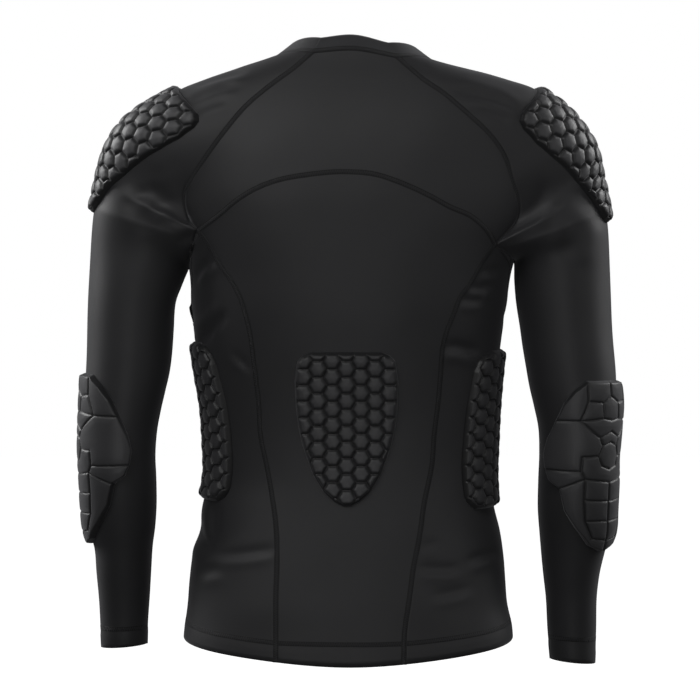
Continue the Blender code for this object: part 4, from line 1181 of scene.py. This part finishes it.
# Reach of a cell's rounded shoulder, half breadth of a groove, height of its floor, crown
HONEYCOMB = (3.4, 0.5, 4.5, 0.8)
ELBOW = (2.4, 0.3, 5.7, 0.5)
x, top = TAIL_PAD_TOP
middle = trunk_angle([(x, top + TAIL_PAD_HALF)], 1)[0, 0]
pad_piece("tail_pad", TAIL_PAD, trunk_place(middle, top), honeycomb_distance, HONEYCOMB)
for side, sleeve in sleeves.items():
    degrees, top = RIB_PAD_TOP[side]
    middle = np.radians(degrees if side == "left" else 180 - degrees)
    pad_piece("rib_pad_" + side, RIB_PAD, trunk_place(middle, top), honeycomb_distance, HONEYCOMB)
    place = sleeve.place(SHOULDER_PAD_START[side], np.pi / 2, SHOULDER_PAD_BACK[side],
                         SHOULDER_PAD_TILT[side])
    pad_piece("shoulder_pad_" + side, SHOULDER_PAD, place, honeycomb_distance, HONEYCOMB)
    start = np.interp(ELBOW_PAD_TOP[side], -sleeve.outer[:, 2], sleeve.along)
    place = sleeve.place(start, np.radians(ELBOW_PAD_TURN[side]))
    pad_piece("elbow_pad_" + side, ELBOW_PAD, place, elbow_distance, ELBOW)

# %% [markdown]
# ## Studio
#
# The shirt is seen straight from behind with a long lens, on white. Black cloth shows its
# form only by soft highlights, so large soft lights stand high on the left, high and low in
# the middle, and weakly on the right, and two more graze the outline from the far side. The
# floor is there for the camera alone, and the white sky gives the cloth only a little light.

# %% Floor and lights
FLOOR = -1.15
FLOOR_HALF = 9
FILL = 0.07
floor_material, tree, surface = new_material("matt white paper", 0.9, 0.0, 0.2)
surface.inputs["Base Color"].default_value = linear("#fafafa")
surface.inputs["Emission Color"].default_value = linear("#ffffff")
surface.inputs["Emission Strength"].default_value = 0.95
floor_mesh = bpy.data.meshes.new("floor")
square = [(-1, -1), (1, -1), (1, 1), (-1, 1)]
floor_mesh.from_pydata([(x * FLOOR_HALF, y * FLOOR_HALF, FLOOR) for x, y in square], [],
                       [(0, 1, 2, 3)])
floor_mesh.materials.append(floor_material)
floor = bpy.data.objects.new("floor", floor_mesh)
bpy.context.scene.collection.objects.link(floor)
floor.visible_diffuse = False
floor.visible_glossy = False

world = bpy.data.worlds.new("white studio")
world.use_nodes = True
sky = world.node_tree.nodes["Background"]
sky.inputs["Color"].default_value = (1, 1, 1, 1)
ray = add(world.node_tree, "ShaderNodeLightPath")
seen = add(world.node_tree, "ShaderNodeMapRange", {"To Min": FILL, "To Max": 1.0},
           {"Value": (ray, "Is Camera Ray")})
world.node_tree.links.new(seen.outputs["Result"], sky.inputs["Strength"])
bpy.context.scene.world = world
bpy.context.scene.view_settings.view_transform = "Standard"

# name, place in metres, size in metres, watts
LIGHTS = [
    ("key_high_left", (1.6, 2.4, 1.5), 1.4, 28),
    ("high_middle", (0.0, 2.6, 2.0), 1.4, 14),
    ("side_right", (-2.4, 2.4, 0.4), 1.4, 8),
    ("rim_left", (2.2, -0.8, 0.8), 1.2, 52),
    ("rim_right", (-2.2, -0.8, 0.8), 1.2, 40),
    ("low_middle", (0.0, 3.2, -1.2), 1.4, 14),
]
AIM = (0, 0, -0.3)
for name, place, size, watts in LIGHTS:
    data = bpy.data.lights.new(name, "AREA")
    data.size = size
    data.energy = watts
    light = bpy.data.objects.new(name, data)
    light.location = place
    direction = np.array(place) - np.array(AIM)
    turn = np.arctan2(direction[1], direction[0]) + np.pi / 2
    tilt = np.arccos(direction[2] / np.linalg.norm(direction))
    light.rotation_euler = (tilt, 0, turn)
    bpy.context.scene.collection.objects.link(light)
print("lights:", [row[0] for row in LIGHTS])

# %% Camera, behind the shirt, a little above its middle
CAMERA_AWAY = 4.5
CAMERA_HEIGHT = np.radians(3)
CAMERA_TARGET = np.array([0.0, 0.0, -0.322])
LENS = 210.4
place = CAMERA_TARGET + CAMERA_AWAY * np.array([0, np.cos(CAMERA_HEIGHT), np.sin(CAMERA_HEIGHT)])
camera_data = bpy.data.cameras.new("camera")
camera_data.lens = LENS
camera_data.sensor_width = 36
camera = bpy.data.objects.new("camera", camera_data)
camera.location = place
camera.rotation_euler = (np.pi / 2 - CAMERA_HEIGHT, 0, np.pi)
bpy.context.scene.collection.objects.link(camera)
bpy.context.scene.camera = camera
print("frame is", round(36 / LENS * CAMERA_AWAY, 3), "m wide at the shirt")

# %% The last update of the scene
bpy.context.view_layer.update()
